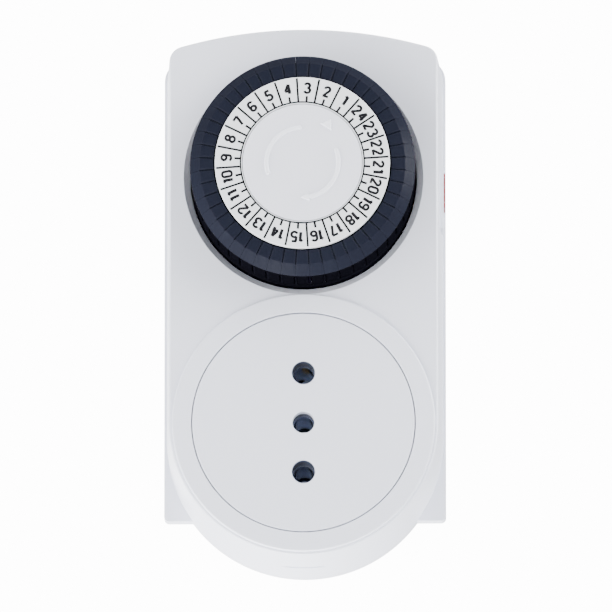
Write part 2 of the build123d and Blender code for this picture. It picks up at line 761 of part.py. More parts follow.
# ---- Feeler lever and switch ---------------------------------------------------------
with BuildPart() as feeler_lever:
    block(lever_x, pivot_z + lever_arm / 2, lever_width, lever_arm + nose_width, lever_level, lever_front)
    block(lever_x, pivot_z - lever_tail / 2, lever_width, lever_tail, lever_level, lever_front)
    block(lever_x, dial_height, nose_radial, nose_width, lever_front, nose_front)
    with BuildSketch(Plane.YZ.offset(lever_x - lever_width / 2)):
        with Locations((-pivot_level, pivot_z)):
            Circle(lever_hub_radius)
    extrude(amount=lever_width)
    with BuildSketch(Plane.YZ.offset(lever_x - lever_width / 2)):
        with Locations((-pivot_level, pivot_z)):
            Circle(pivot_pin_radius + running_gap)
    extrude(amount=lever_width, mode=Mode.SUBTRACT)
feeler_lever.part.label = "feeler_lever"

with BuildPart() as lever_pivot_pin:
    with BuildSketch(Plane.YZ.offset(lever_x - ear_inner - ear_thickness)):
        with Locations((-pivot_level, pivot_z)):
            Circle(pivot_pin_radius)
    extrude(amount=2 * (ear_inner + ear_thickness))
lever_pivot_pin.part.label = "lever_pivot_pin"

# return spring between the rear cover and the lever, behind the nose
spring_back = wall + lever_spring_wire
spring_rise = lever_level - wall - 2 * lever_spring_wire
with BuildPart() as lever_spring:
    with BuildLine() as coil:
        Helix(spring_rise / lever_spring_turns, spring_rise, lever_spring_radius,
              center=(lever_x, -spring_back, dial_height), direction=(0, -1, 0))
    with BuildSketch(Plane(origin=coil.line @ 0, z_dir=coil.line % 0)):
        Circle(lever_spring_wire)
    sweep(is_frenet=True)
lever_spring.part.label = "lever_spring"

with BuildPart() as switch_case:
    block(switch_x, switch_z, switch_width, switch_length, switch_back, switch_front)
    bar([(lever_x, plunger_z)], plunger_radius + running_gap, switch_front - plunger_in - plunger_room,
        switch_front, Mode.SUBTRACT)
    chamfer(faces().sort_by(Axis.Y)[0].outer_wire().edges(), tappet_edge)
switch_case.part.label = "switch_case"

with BuildPart() as switch_plunger:
    bar([(lever_x, plunger_z)], plunger_radius, switch_front - plunger_in, switch_front + plunger_out)
    fillet(faces().sort_by(Axis.Y)[0].edges(), tappet_edge)
switch_plunger.part.label = "switch_plunger"

switch_end = switch_z - switch_length / 2
terminal_z = switch_end - terminal_length / 2
terminal_bottom = terminal_z - terminal_length / 2
with BuildPart() as switch_terminals:
    for terminal_back in (pin_head_front, load_bar_back):
        terminal_front = terminal_back + bar_thickness
        block(switch_x, terminal_z, terminal_width, terminal_length, terminal_back, terminal_front)
switch_terminals.part.label = "switch_terminals"

# ---- Override slide ------------------------------------------------------------------
with BuildPart() as override_slider:
    slider_side = side_at_slot + slider_out
    block((flange_side + slider_side) / 2, slider_middle, slider_side - flange_side, slider_length,
          slot_low_level + slider_play, slot_high_level - slider_play)
    flange_length = slider_length + 2 * slider_flange
    block(flange_side - flange_thickness / 2, slider_middle, flange_thickness, flange_length,
          slot_low_level - slider_flange, slot_high_level + slider_flange / 2)
    rib_pitch = slider_length / (grip_ribs + 1)
    for rib in range(grip_ribs):
        rib_z = slider_middle + (rib - (grip_ribs - 1) / 2) * rib_pitch
        block(slider_side, rib_z, 2 * grip_rib, grip_rib, slot_low_level, slot_high_level,
              Mode.SUBTRACT)
override_slider.part.label = "override_slider"

# ---- Contacts and plug pins ----------------------------------------------------------
holder_radius = tube_radius + holder_clearance + holder_wall
with BuildPart() as contact_holder:
    with BuildSketch(front(holder_back)):
        SlotCenterToCenter(2 * pin_pitch, 2 * holder_radius, rotation=90)
    extrude(amount=holder_front - holder_back)
    bar(pin_places, tube_radius + holder_clearance, tube_back, holder_front, Mode.SUBTRACT)
    bar(pin_places, pin_neck_radius + holder_clearance, holder_back, tube_back, Mode.SUBTRACT)
    with BuildSketch(front(load_bar_back)):
        with BuildLine():
            Polyline((0, pin_pitch), (switch_x, bar_bend_z))
        trace(line_width=bar_width + 2 * holder_clearance)
    extrude(amount=bar_thickness, mode=Mode.SUBTRACT)
contact_holder.part.label = "contact_holder"


def contact_tubes(places):
    """Slit spring tubes that grip the pins of the plug."""
    for x, z in places:
        tube(x, z, tube_radius, contact_radius, tube_back, tube_front)
        slit_back = tube_front - contact_slit_length
        block(x, z, 2 * tube_radius, contact_slit, slit_back, tube_front, Mode.SUBTRACT)


with BuildPart() as live_contacts:
    contact_tubes(live_places)
live_contacts.part.label = "live_contacts"

with BuildPart() as earth_contact:
    contact_tubes([(0, 0)])
earth_contact.part.label = "earth_contact"

with BuildPart() as earth_pin:
    bar([(0, 0)], pin_radius, -pin_length, 0)
    chamfer(faces().sort_by(Axis.Y)[-1].edges(), pin_tip)
    bar([(0, 0)], pin_collar_radius, 0, wall)
    bar([(0, 0)], pin_head_radius, wall, pin_head_front)
earth_pin.part.label = "earth_pin"

with BuildPart() as live_pins:
    bar(live_places, pin_radius, -pin_length, 0)
    chamfer(faces().group_by(Axis.Y)[-1].edges(), pin_tip)
    for pin_x, pin_z in live_places:
        with BuildSketch(front(0)):
            with Locations((pin_x, pin_z)):
                Circle(pin_radius)
                Circle(pin_neck_radius, mode=Mode.SUBTRACT)
        extrude(amount=-sleeve_length, mode=Mode.SUBTRACT)
    bar(live_places, pin_collar_radius, 0, wall)
    bar(live_places, pin_head_radius, wall, pin_head_front)
live_pins.part.label = "live_pins"

with BuildPart() as pin_sleeves:
    for pin_x, pin_z in live_places:
        tube(pin_x, pin_z, pin_radius, pin_neck_radius, -sleeve_length, 0)
pin_sleeves.part.label = "pin_sleeves"

with BuildPart() as busbars:
    for bar_back in (pin_head_front, load_bar_back):
        with BuildSketch(front(bar_back)):
            with BuildLine():
                Polyline((0, pin_pitch), (switch_x, bar_bend_z), (switch_x, terminal_bottom))
            trace(line_width=bar_width)
        extrude(amount=bar_thickness)
    bar([(0, 0), (0, -pin_pitch)], pin_neck_radius, pin_head_front, tube_back)
busbars.part.label = "busbars"

with BuildPart() as motor_leads:
    for side in (-1, 1):
        lead_start_x = motor_x + side * lead_spread
        lead_start_z = motor_z - sqrt(motor_radius**2 - lead_spread**2) - lip_clearance
        lead_end_z = pin_pitch + holder_radius + lip_clearance
        with BuildLine() as route:
            FilletPolyline((lead_start_x, -lead_level, lead_start_z),
                           (lead_start_x, -lead_level, lead_start_z - lead_straight),
                           (side * lead_spread, -lead_level, lead_end_z + lead_straight),
                           (side * lead_spread, -lead_level, lead_end_z), radius=lead_bend)
        with BuildSketch(Plane(origin=route.line @ 0, z_dir=route.line % 0)):
            Circle(lead_radius)
        sweep()
motor_leads.part.label = "motor_leads"

# ---- Files ---------------------------------------------------------------------------
pieces = [
    front_cover, rear_cover, socket_plate, housing_screws, chassis_plate, chassis_screws, dial_spindle,
    spindle_clip, pointer_cap, dial_ring, hour_ring, dial_gear, clutch_spring, idler_gear, idler_arbor,
    motor_can, motor_gearbox, motor_bobbin, motor_winding, motor_rotor, motor_pinion, motor_leads,
    feeler_lever, lever_pivot_pin, lever_spring, switch_case, switch_plunger, switch_terminals,
    override_slider, contact_holder, live_contacts, earth_contact, earth_pin, live_pins, pin_sleeves,
    busbars,
]
os.makedirs("parts", exist_ok=True)
for piece in [made.part for made in pieces] + tappet_pairs:
    export_step(piece, f"parts/{piece.label}.step")
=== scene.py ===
"""Plug in timer switch: the finished model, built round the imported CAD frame."""
import json
import math

import bpy
from mathutils import Matrix, Vector


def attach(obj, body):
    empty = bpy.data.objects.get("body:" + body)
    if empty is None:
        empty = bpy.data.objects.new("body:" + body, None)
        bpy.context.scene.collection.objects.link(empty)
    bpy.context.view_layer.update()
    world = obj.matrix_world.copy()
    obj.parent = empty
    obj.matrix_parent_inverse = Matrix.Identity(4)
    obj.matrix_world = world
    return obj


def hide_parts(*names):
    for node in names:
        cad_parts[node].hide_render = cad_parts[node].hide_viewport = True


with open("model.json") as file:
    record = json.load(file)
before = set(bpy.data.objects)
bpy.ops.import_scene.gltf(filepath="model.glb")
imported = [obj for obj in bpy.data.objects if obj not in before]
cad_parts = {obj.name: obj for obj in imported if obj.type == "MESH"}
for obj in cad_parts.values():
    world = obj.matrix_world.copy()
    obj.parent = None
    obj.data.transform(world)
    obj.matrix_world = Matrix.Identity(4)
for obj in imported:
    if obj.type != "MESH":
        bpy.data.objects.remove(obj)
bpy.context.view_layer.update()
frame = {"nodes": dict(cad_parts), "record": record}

bl_info = {
    "name": "Plug in timer switch",
    "version": (1, 0, 0),
    "blender": (4, 5, 0),
    "location": "3D View > Sidebar > Timer",
    "description": "Builds a mains timer with a segment dial, piece by piece",
    "category": "Object",
}

MM = 0.001
TAU = 2 * math.pi
TOWARDS_USER = Vector((0, -1, 0))
SPIN_AXIS = (0, 1, 0)  # Blender's spin runs backwards, so this turns from +X to +Z

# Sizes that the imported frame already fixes, in millimetres.
BODY_FRONT = 27.5
BOSS_FRONT = 28.5
PARTING = 4.0
DRAFT_GROWTH = 1.067  # how much wider the front cover is at the parting than at its front
WALL = 2.0
DIAL_Z = 64.8
DIAL_CENTRE = Vector((0, 0, DIAL_Z * MM))  # in metres
PIN_PITCH = 13.0
PIN_ROWS = (PIN_PITCH, 0.0, -PIN_PITCH)
LIVE_ROWS = (PIN_PITCH, -PIN_PITCH)
PIN_RADIUS = 2.5
PIN_COLLAR = 2.9
PLATE_SEAT = 25.5
SCREW_PLACES = ((29.3, 94.6), (-29.3, 94.6), (21.0, -21.7), (-21.0, -21.7))
CHASSIS_POSTS = ((-24.0, 87.0), (15.0, 87.5), (15.5, 42.0), (-27.0, 57.5))

# Sizes of what only shows, in millimetres.
# wall of the dark rings of painted shade inside the live holes
SHADE_RING_WALL = 0.16
SLOT_Z = 61.4
SLIDE_Z = SLOT_Z + 2.35
SLIDE_FACE = 36.38
TAPPET_INNER = 22.9
TAPPET_EDGE = 40.2  # where a tappet's side ends and its slope starts
RING_RADIUS = 22.5
RING_BORE = 15.5
RING_FRONT = 44.6
CAP_FRONT = 44.55
MARK_FOOT = 44.4
MARK_RISE = 0.35
ARC_RADIUS = 9.25
ARC_HALF_WIDTH = 0.575
INK = 0.03
PEN = 0.7
NUMBER_CIRCLE = 19.6
FIGURE_SPREAD = 1.1
FIRST_HOUR = math.radians(56.2)  # where the hour 1 stands, from +X towards +Z


# Pen strokes of the hour numbers: where the pen starts and how it moves, on a box 0.5 by 1.
LINE, ARC = "line", "arc"
PEN_STROKES = {
    "0": [((0.5, 0.75), [(ARC, (0.25, 0.75), 180), (LINE, (0, -0.5)),
                         (ARC, (0.25, 0.25), 180), (LINE, (0, 0.5))])],
    "1": [((0.24, 0), [(LINE, (0, 1))]), ((0.24, 0.99), [(LINE, (-0.21, -0.19))])],
    "2": [((0.01, 0.75), [(ARC, (0.25, 0.75), -205), (LINE, (-0.4475, -0.6486))]),
          ((-0.03, 0), [(LINE, (0.54, 0))])],
    "3": [((0.018, 0.82), [(ARC, (0.24, 0.76), -255)]),
          ((0.24, 0.53), [(ARC, (0.24, 0.265), -250)])],
    "4": [((0.38, 0), [(LINE, (0, 1))]), ((0.37, 1), [(LINE, (-0.37, -0.7))]),
          ((-0.03, 0.29), [(LINE, (0.57, 0))])],
    "5": [((0.03, 1), [(LINE, (0.43, 0))]), ((0.09, 1.03), [(LINE, (-0.045, -0.53))]),
          ((0.0255, 0.47), [(ARC, (0.24, 0.29), -300)])],
    "6": [((0.4755, 0.842), [(ARC, (0.25, 0.76), 160), (LINE, (0, -0.49))]),
          ((0.495, 0.265), [(ARC, (0.25, 0.265), 360)])],
    "7": [((-0.02, 1), [(LINE, (0.54, 0))]), ((0.5, 1), [(LINE, (-0.32, -1))])],
    "8": [((0.465, 0.765), [(ARC, (0.25, 0.765), 360)]),
          ((0.51, 0.27), [(ARC, (0.25, 0.27), 360)])],
    "9": [((0.0245, 0.158), [(ARC, (0.25, 0.24), 160), (LINE, (0, 0.49))]),
          ((0.495, 0.735), [(ARC, (0.25, 0.735), 360)])],
}


# ---- Settings ------------------------------------------------------------------------
class TimerSizes(bpy.types.PropertyGroup):
    """Sizes of the visible pieces."""

    face_half_width: bpy.props.FloatProperty(
        name="Half width", description="Half the width of the front face",
        default=34.6 * MM, unit="LENGTH")
    arch_height: bpy.props.FloatProperty(
        name="Arch height", description="Top of the front face above the earth pin",
        default=103.9 * MM, unit="LENGTH")
    arch_radius: bpy.props.FloatProperty(
        name="Arch radius", description="Radius of the arched top",
        default=114.0 * MM, unit="LENGTH")
    corner_radius: bpy.props.FloatProperty(
        name="Corner radius", description="Radius of the two upper corners",
        default=4.0 * MM, unit="LENGTH")
    edge_round: bpy.props.FloatProperty(
        name="Edge round", description="Rounding of the front face's edge",
        default=0.6 * MM, unit="LENGTH")
    boss_radius: bpy.props.FloatProperty(
        name="Boss radius", description="Radius of the raised socket boss",
        default=33.85 * MM, unit="LENGTH")
    plate_radius: bpy.props.FloatProperty(
        name="Socket plate radius", description="Radius of the round socket plate",
        default=28.6 * MM, unit="LENGTH")
    pin_hole_radius: bpy.props.FloatProperty(
        name="Pin hole radius", description="Radius of the socket's three holes",
        default=2.84 * MM, unit="LENGTH")
    dial_radius: bpy.props.FloatProperty(
        name="Dial radius", description="Outer radius of the ring of tappets",
        default=29.0 * MM, unit="LENGTH")
    numeral_height: bpy.props.FloatProperty(
        name="Numeral height", description="Height of the hour numbers",
        default=3.2 * MM, unit="LENGTH")


class TimerColours(bpy.types.PropertyGroup):
    """Colours of the visible pieces."""

    shell: bpy.props.FloatVectorProperty(
        name="Housing", description="Colour of the housing", subtype="COLOR",
        default=(0.765, 0.785, 0.87), min=0.0, max=1.0)
    tappet: bpy.props.FloatVectorProperty(
        name="Tappets", description="Colour of the ring of tappets", subtype="COLOR",
        default=(0.0095, 0.0108, 0.0185), min=0.0, max=1.0)
    hour_ring: bpy.props.FloatVectorProperty(
        name="Hour ring", description="Colour of the numbered ring", subtype="COLOR",
        default=(0.78, 0.795, 0.82), min=0.0, max=1.0)
    cap: bpy.props.FloatVectorProperty(
        name="Pointer cap", description="Colour of the disc in the middle", subtype="COLOR",
        default=(0.785, 0.795, 0.87), min=0.0, max=1.0)
    ink: bpy.props.FloatVectorProperty(
        name="Print", description="Colour of the numbers and lines", subtype="COLOR",
        default=(0.012, 0.012, 0.014), min=0.0, max=1.0)
    slide: bpy.props.FloatVectorProperty(
        name="Override slide", description="Colour of the override slide", subtype="COLOR",
        default=(0.3, 0.05, 0.06), min=0.0, max=1.0)
    brass: bpy.props.FloatVectorProperty(
        name="Brass", description="Colour of the pins and contacts", subtype="COLOR",
        default=(0.83, 0.62, 0.27), min=0.0, max=1.0)


# ---- Modelling steps -----------------------------------------------------------------
def object_mode():
    """Leave edit mode, with nothing selected."""
    if bpy.context.object and bpy.context.object.mode != "OBJECT":
        bpy.ops.object.mode_set(mode="OBJECT")
    bpy.ops.object.select_all(action="DESELECT")


def work_on(piece):
    """Make a piece the only selected and active one."""
    object_mode()
    piece.select_set(True)
    bpy.context.view_layer.objects.active = piece


def settle(piece):
    """Put a piece's place into its mesh, so that its object is at the origin."""
    work_on(piece)
    bpy.ops.object.transform_apply(location=True, rotation=True, scale=True)


def edit_all(piece, kind):
    """Select the whole piece by its vertices, edges or faces, and stay in edit mode."""
    work_on(piece)
    bpy.ops.object.mode_set(mode="EDIT")
    bpy.ops.mesh.select_mode(type=kind)
    bpy.ops.mesh.select_all(action="SELECT")


def outwards(piece):
    """Merge what coincides and point the faces outwards."""
    work_on(piece)
    bpy.ops.object.mode_set(mode="EDIT")
    bpy.ops.mesh.select_all(action="SELECT")
    bpy.ops.mesh.remove_doubles(threshold=1e-7)
    bpy.ops.mesh.normals_make_consistent(inside=False)
    bpy.ops.object.mode_set(mode="OBJECT")


def close_holes(piece):
    """Fill each open loop with a face."""
    work_on(piece)
    bpy.ops.object.mode_set(mode="EDIT")
    bpy.ops.mesh.select_mode(type="EDGE")
    bpy.ops.mesh.select_all(action="DESELECT")
    bpy.ops.mesh.select_non_manifold()
    bpy.ops.mesh.edge_face_add()
    bpy.ops.object.mode_set(mode="OBJECT")


def apply_modifier(piece, kind, **settings):
    """Add one modifier, set it and apply it."""
    work_on(piece)
    modifier = piece.modifiers.new(kind.title(), kind)
    for name, value in settings.items():
        setattr(modifier, name, value)
    bpy.ops.object.modifier_apply(modifier=modifier.name)


def combine(piece, tool, operation):
    """Cut a tool out of a piece, or join it on, and remove the tool."""
    apply_modifier(piece, "BOOLEAN", object=tool, operation=operation, solver="EXACT")
    bpy.data.objects.remove(tool, do_unlink=True)


def cut(piece, tool):
    """Cut a tool out of a piece."""
    combine(piece, tool, "DIFFERENCE")


def add(piece, tool):
    """Join a tool onto a piece."""
    combine(piece, tool, "UNION")


def finish_surface(piece, angle=30.0):
    """Smooth the rounds, keep the flats flat."""
    outwards(piece)
    work_on(piece)
    bpy.ops.object.shade_smooth_by_angle(angle=math.radians(angle))
    apply_modifier(piece, "WEIGHTED_NORMAL", weight=100, keep_sharp=True)
    object_mode()


def profile_bar(name, x, z, rings, sides=96):
    """Solid turned piece that faces the user; rings are (radius, height), back to front, in mm."""
    object_mode()
    radius, height = rings[0]
    bpy.ops.mesh.primitive_circle_add(
        vertices=sides, radius=radius * MM, fill_type="NGON",
        location=(x * MM, -height * MM, z * MM), rotation=(math.pi / 2, 0, 0))
    piece = bpy.context.object
    piece.name = name
    settle(piece)
    edit_all(piece, "FACE")
    for next_radius, next_height in rings[1:]:
        bpy.ops.mesh.extrude_region_move(
            TRANSFORM_OT_translate={"value": (0, -(next_height - height) * MM, 0)})
        if next_radius != radius:
            share = next_radius / radius
            bpy.ops.transform.resize(
                value=(share, 1, share), center_override=(x * MM, -next_height * MM, z * MM))
        radius, height = next_radius, next_height
    bpy.ops.object.mode_set(mode="OBJECT")
    outwards(piece)
    return piece


def bar(name, x, z, radius, low, high, sides=96):
    """Plain round bar between two heights, used as a cutter or a post."""
    return profile_bar(name, x, z, [(radius, low), (radius, high)], sides)


def rounded(radius, low, high, edge, steps=4):
    """Rings of a bar whose front edge is rounded."""
    rings = [(radius, low), (radius, high - edge)]
    for step in range(1, steps + 1):
        turn = step / steps * math.pi / 2
        rings.append((radius - edge * (1 - math.cos(turn)), high - edge + edge * math.sin(turn)))
    return rings


def block(name, x, z, width, length, low, high):
    """Plain block between two heights, used as a cutter or a start."""
    object_mode()
    bpy.ops.mesh.primitive_cube_add(
        size=1, location=(x * MM, -(low + high) / 2 * MM, z * MM),
        scale=(width * MM, (high - low) * MM, length * MM))
    piece = bpy.context.object
    piece.name = name
    settle(piece)
    return piece


def bevel_edges(piece, test, offset, segments=2):
    """Bevel the edges whose two ends pass the test; the offset is in mm."""
    edit_all(piece, "EDGE")
    bpy.ops.mesh.select_all(action="DESELECT")
    bpy.ops.object.mode_set(mode="OBJECT")
    vertices = piece.data.vertices
    for edge in piece.data.edges:
        edge.select = test(*[vertices[index].co for index in edge.vertices])
    bpy.ops.object.mode_set(mode="EDIT")
    bpy.ops.mesh.bevel(offset=offset * MM, segments=segments, affect="EDGES", clamp_overlap=True)
    bpy.ops.object.mode_set(mode="OBJECT")


def walk_path(name, height, start, moves):
    """Line drawn from one vertex by straight moves and turns, in mm."""
    object_mode()
    bpy.ops.mesh.primitive_plane_add(
        size=MM, location=(start[0] * MM, -height * MM, start[1] * MM),
        rotation=(math.pi / 2, 0, 0))
    piece = bpy.context.object
    piece.name = name
    settle(piece)
    edit_all(piece, "VERT")
    bpy.ops.mesh.merge(type="CENTER")
    for kind, (across, up), *turn in moves:
        if kind == LINE:
            bpy.ops.mesh.extrude_region_move(
                TRANSFORM_OT_translate={"value": (across * MM, 0, up * MM)})
        else:
            bpy.ops.mesh.spin(
                angle=turn[0], steps=turn[1], axis=SPIN_AXIS,
                center=(across * MM, -height * MM, up * MM))
    bpy.ops.mesh.select_all(action="SELECT")
    bpy.ops.mesh.remove_doubles(threshold=2e-6)
    bpy.ops.object.mode_set(mode="OBJECT")
    return piece


def walk_outline(name, height, start, moves):
    """Flat face that faces the user, drawn from one vertex by straight moves and turns, in mm."""
    piece = walk_path(name, height, start, moves)
    edit_all(piece, "VERT")
    bpy.ops.mesh.edge_face_add()
    bpy.ops.object.mode_set(mode="OBJECT")
    if piece.data.polygons[0].normal.y > 0:
        piece.data.flip_normals()
    return piece


def arch_moves(growth):
    """Half width and the moves from the right side up over the arch to the left side."""
    sizes = bpy.context.scene.timer_sizes
    half = sizes.face_half_width / MM + growth
    top = sizes.arch_height / MM + growth
    arch = sizes.arch_radius / MM + growth
    corner = sizes.corner_radius / MM + growth
    arch_z = top - arch
    corner_x = half - corner
    corner_z = arch_z + math.sqrt((arch - corner) ** 2 - corner_x ** 2)
    tilt = math.atan2(corner_z - arch_z, corner_x)
    moves = [
        (LINE, (0, corner_z)),
        (ARC, (corner_x, corner_z), tilt, 10),
        (ARC, (0, arch_z), math.pi - 2 * tilt, 36),
        (ARC, (-corner_x, corner_z), tilt, 10),
        (LINE, (0, -corner_z)),
    ]
    return half, moves


def round_footed(name, growth, height):
    """The housing's outline, with a half circle below."""
    half, moves = arch_moves(growth)
    moves.append((ARC, (0, 0), math.pi, 72))
    return walk_outline(name, height, (half, 0), moves)


def square_footed(name, growth, height, drop, corner, foot):
    """The rear cover's outline: square lower corners, and a round foot between them."""
    half, moves = arch_moves(growth)
    dip = math.asin(drop / foot)
    shoulder = half - corner - foot * math.cos(dip)
    moves += [
        (LINE, (0, corner - drop)),
        (ARC, (corner - half, corner - drop), math.pi / 2, 6),
        (LINE, (shoulder, 0)),
        (ARC, (0, 0), math.pi - 2 * dip, 48),
        (LINE, (shoulder, 0)),
        (ARC, (half - corner, corner - drop), math.pi / 2, 6),
        (LINE, (0, drop - corner)),
    ]
    return walk_outline(name, height, (half, 0), moves)


def thicken(piece, depth):
    """Extrude a flat face towards the user, in mm."""
    edit_all(piece, "FACE")
    bpy.ops.mesh.extrude_region_move(TRANSFORM_OT_translate={"value": (0, -depth * MM, 0)})
    bpy.ops.object.mode_set(mode="OBJECT")
    outwards(piece)


def raise_faces(piece, steps):
    """Inset all selected faces step by step; steps are (inwards, forwards) in mm."""
    edit_all(piece, "FACE")
    for inwards, forwards in steps:
        bpy.ops.mesh.inset(thickness=inwards * MM, depth=forwards * MM, use_even_offset=True)
    bpy.ops.object.mode_set(mode="OBJECT")
    close_holes(piece)
    outwards(piece)


def round_steps(edge, count=5):
    """Insets that turn a corner of the given radius, from the side to the front."""
    steps = []
    for step in range(count):
        one = step / count * math.pi / 2
        two = (step + 1) / count * math.pi / 2
        inwards, forwards = math.cos(one) - math.cos(two), math.sin(two) - math.sin(one)
        steps.append((edge * inwards, edge * forwards))
    return steps


def copy_turned(master, name, turn):
    """Copy of a piece with its own mesh, turned about the dial axis."""
    piece = master.copy()
    piece.data = master.data.copy()
    piece.name = name
    bpy.context.collection.objects.link(piece)
    turning = Matrix.Rotation(turn, 4, TOWARDS_USER)
    piece.data.transform(
        Matrix.Translation(DIAL_CENTRE) @ turning @ Matrix.Translation(-DIAL_CENTRE))
    return piece


def join(pieces, name):
    """Join pieces into the first one."""
    object_mode()
    for piece in pieces:
        piece.select_set(True)
    bpy.context.view_layer.objects.active = pieces[0]
    bpy.ops.object.join()
    pieces[0].name = name
    return pieces[0]


def dress(piece, finish, body, slot, *nodes):
    """Give a piece its finish, body and the CAD nodes it stands for; the record slot is not used.
    """
    piece.data.materials.clear()
    piece.data.materials.append(bpy.data.materials[finish])
    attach(piece, body)
    if nodes:
        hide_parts(*nodes)


# ---- Shared effects ------------------------------------------------------------------
def feed(links, value, place):
    """Set an input to a number, or link another node's output to it."""
    if isinstance(value, bpy.types.NodeSocket):
        links.new(value, place)
    else:
        place.default_value = value


def calculate(tree, operation, *terms):
    """Math node of these terms, which are numbers or outputs."""
    node = tree.nodes.new("ShaderNodeMath")
    node.operation = operation
    for place, term in zip(node.inputs, terms):
        feed(tree.links, term, place)
    return node.outputs[0]


def noise(tree, vector, scale, detail=2.0):
    """Noise over a vector; the scale is a number or an output."""
    node = tree.nodes.new("ShaderNodeTexNoise")
    node.inputs["Detail"].default_value = detail
    feed(tree.links, vector, node.inputs["Vector"])
    feed(tree.links, scale, node.inputs["Scale"])
    return node.outputs["Fac"]


def object_place(tree):
    """Object coordinates."""
    return tree.nodes.new("ShaderNodeTexCoord").outputs["Object"]


def new_group(name, inputs, outputs):
    """Node group with these sockets; gives the tree, its inputs and its results."""
    tree = bpy.data.node_groups.new(name, "ShaderNodeTree")
    for label, kind, value in inputs:
        made = tree.interface.new_socket(
            name=label, in_out="INPUT", socket_type="NodeSocket" + kind)
        made.default_value = value
    for label, kind in outputs:
        tree.interface.new_socket(name=label, in_out="OUTPUT", socket_type="NodeSocket" + kind)
    entry = tree.nodes.new("NodeGroupInput")
    leave = tree.nodes.new("NodeGroupOutput")
    return tree, entry.outputs, leave.inputs


def mould_grain_group():
    """Fine spark-eroded grain and slow colour drift of a moulding."""
    tree, given, results = new_group("Moulding grain", (
        ("Grain scale", "Float", 2600.0),
        ("Drift scale", "Float", 45.0),
        ("Colour", "Color", (0.8, 0.8, 0.8, 1)),
        ("Drift amount", "Float", 0.03),
        ("Roughness", "Float", 0.4),
        ("Roughness spread", "Float", 0.06),
    ), (("Colour", "Color"), ("Roughness", "Float"), ("Height", "Float")))
    place = object_place(tree)
    grain = noise(tree, place, given["Grain scale"], 3.0)
    drift = calculate(tree, "SUBTRACT", noise(tree, place, given["Drift scale"], 4.0), 0.5)
    amount = calculate(tree, "MULTIPLY", drift, given["Drift amount"])
    tint = tree.nodes.new("ShaderNodeVectorMath")
    tint.operation = "SCALE"
    tree.links.new(given["Colour"], tint.inputs[0])
    tree.links.new(calculate(tree, "ADD", amount, 1.0), tint.inputs["Scale"])
    spread = calculate(tree, "MULTIPLY", drift, given["Roughness spread"])
    tree.links.new(tint.outputs[0], results["Colour"])
    tree.links.new(calculate(tree, "ADD", given["Roughness"], spread), results["Roughness"])
    tree.links.new(grain, results["Height"])


def edge_wear_group():
    """Mask that is 1 on outer edges that hands and tools polish."""
    tree, given, results = new_group(
        "Edge wear", (("Amount", "Float", 0.5),), (("Mask", "Float"),))
    shape = tree.nodes.new("ShaderNodeNewGeometry")
    edge = tree.nodes.new("ShaderNodeMapRange")
    edge.inputs["From Min"].default_value = 0.53
    edge.inputs["From Max"].default_value = 0.62
    tree.links.new(shape.outputs["Pointiness"], edge.inputs["Value"])
    patches = noise(tree, object_place(tree), 400.0)
    broken = calculate(tree, "MULTIPLY", edge.outputs["Result"], patches)
    mask = calculate(tree, "MULTIPLY", broken, given["Amount"])
    mask.node.use_clamp = True
    tree.links.new(mask, results["Mask"])


def new_material(name):
    """Material with its node tree and shader."""
    material = bpy.data.materials.new(name)
    material.use_nodes = True
    return material, material.node_tree, material.node_tree.nodes["Principled BSDF"]


def use_group(tree, name):
    """Node of a shared effect."""
    effect = tree.nodes.new("ShaderNodeGroup")
    effect.node_tree = bpy.data.node_groups[name]
    return effect


def emboss(tree, height, relief, shader):
    """Bump of 0.1 mm at full strength."""
    bump = tree.nodes.new("ShaderNodeBump")
    bump.inputs["Strength"].default_value = relief
    bump.inputs["Distance"].default_value = 0.1 * MM
    tree.links.new(height, bump.inputs["Height"])
    tree.links.new(bump.outputs["Normal"], shader.inputs["Normal"])


def moulded(name, colour, roughness, grain=2600.0, relief=0.02, drift=0.03, wear=0.0, worn=None,
            specular=0.5):
    """Moulded plastic with grain, slow drift and, where asked, polished edges."""
    material, tree, shader = new_material(name)
    shader.inputs["Specular IOR Level"].default_value = specular
    effect = use_group(tree, "Moulding grain")
    effect.inputs["Grain scale"].default_value = grain
    effect.inputs["Colour"].default_value = (*colour, 1)
    effect.inputs["Drift amount"].default_value = drift
    effect.inputs["Roughness"].default_value = roughness
    emboss(tree, effect.outputs["Height"], relief, shader)
    tree.links.new(effect.outputs["Roughness"], shader.inputs["Roughness"])
    tinted = effect.outputs["Colour"]
    if wear:
        edge = use_group(tree, "Edge wear")
        edge.inputs["Amount"].default_value = wear
        mix = tree.nodes.new("ShaderNodeMix")
        mix.data_type = "RGBA"
        mix.inputs["B"].default_value = (*worn, 1)
        tree.links.new(edge.outputs["Mask"], mix.inputs["Factor"])
        tree.links.new(tinted, mix.inputs["A"])
        tinted = mix.outputs["Result"]
    tree.links.new(tinted, shader.inputs["Base Color"])
    return material


def worked_metal(name, colour, roughness, stretch=(1, 1, 1), grain=900.0, relief=0.03):
    """Metal with fine tool marks, drawn out along one axis by the stretch."""
    material, tree, shader = new_material(name)
    shader.inputs["Metallic"].default_value = 1.0
    place = object_place(tree)
    drawn = tree.nodes.new("ShaderNodeMapping")
    drawn.inputs["Scale"].default_value = stretch
    tree.links.new(place, drawn.inputs["Vector"])
    marks = noise(tree, drawn.outputs["Vector"], grain, 5.0)
    rough = tree.nodes.new("ShaderNodeMapRange")
    rough.inputs["To Min"].default_value = roughness - 0.08
    rough.inputs["To Max"].default_value = roughness + 0.1
    tree.links.new(marks, rough.inputs["Value"])
    tree.links.new(rough.outputs["Result"], shader.inputs["Roughness"])
    ramp = tree.nodes.new("ShaderNodeValToRGB")
    tarnished, clean = ramp.color_ramp.elements
    tarnished.position, tarnished.color = 0.3, (*[share * 0.72 for share in colour], 1)
    clean.position, clean.color = 0.6, (*colour, 1)
    tree.links.new(noise(tree, place, 140.0), ramp.inputs["Fac"])
    tree.links.new(ramp.outputs["Color"], shader.inputs["Base Color"])
    emboss(tree, marks, relief, shader)
    return material


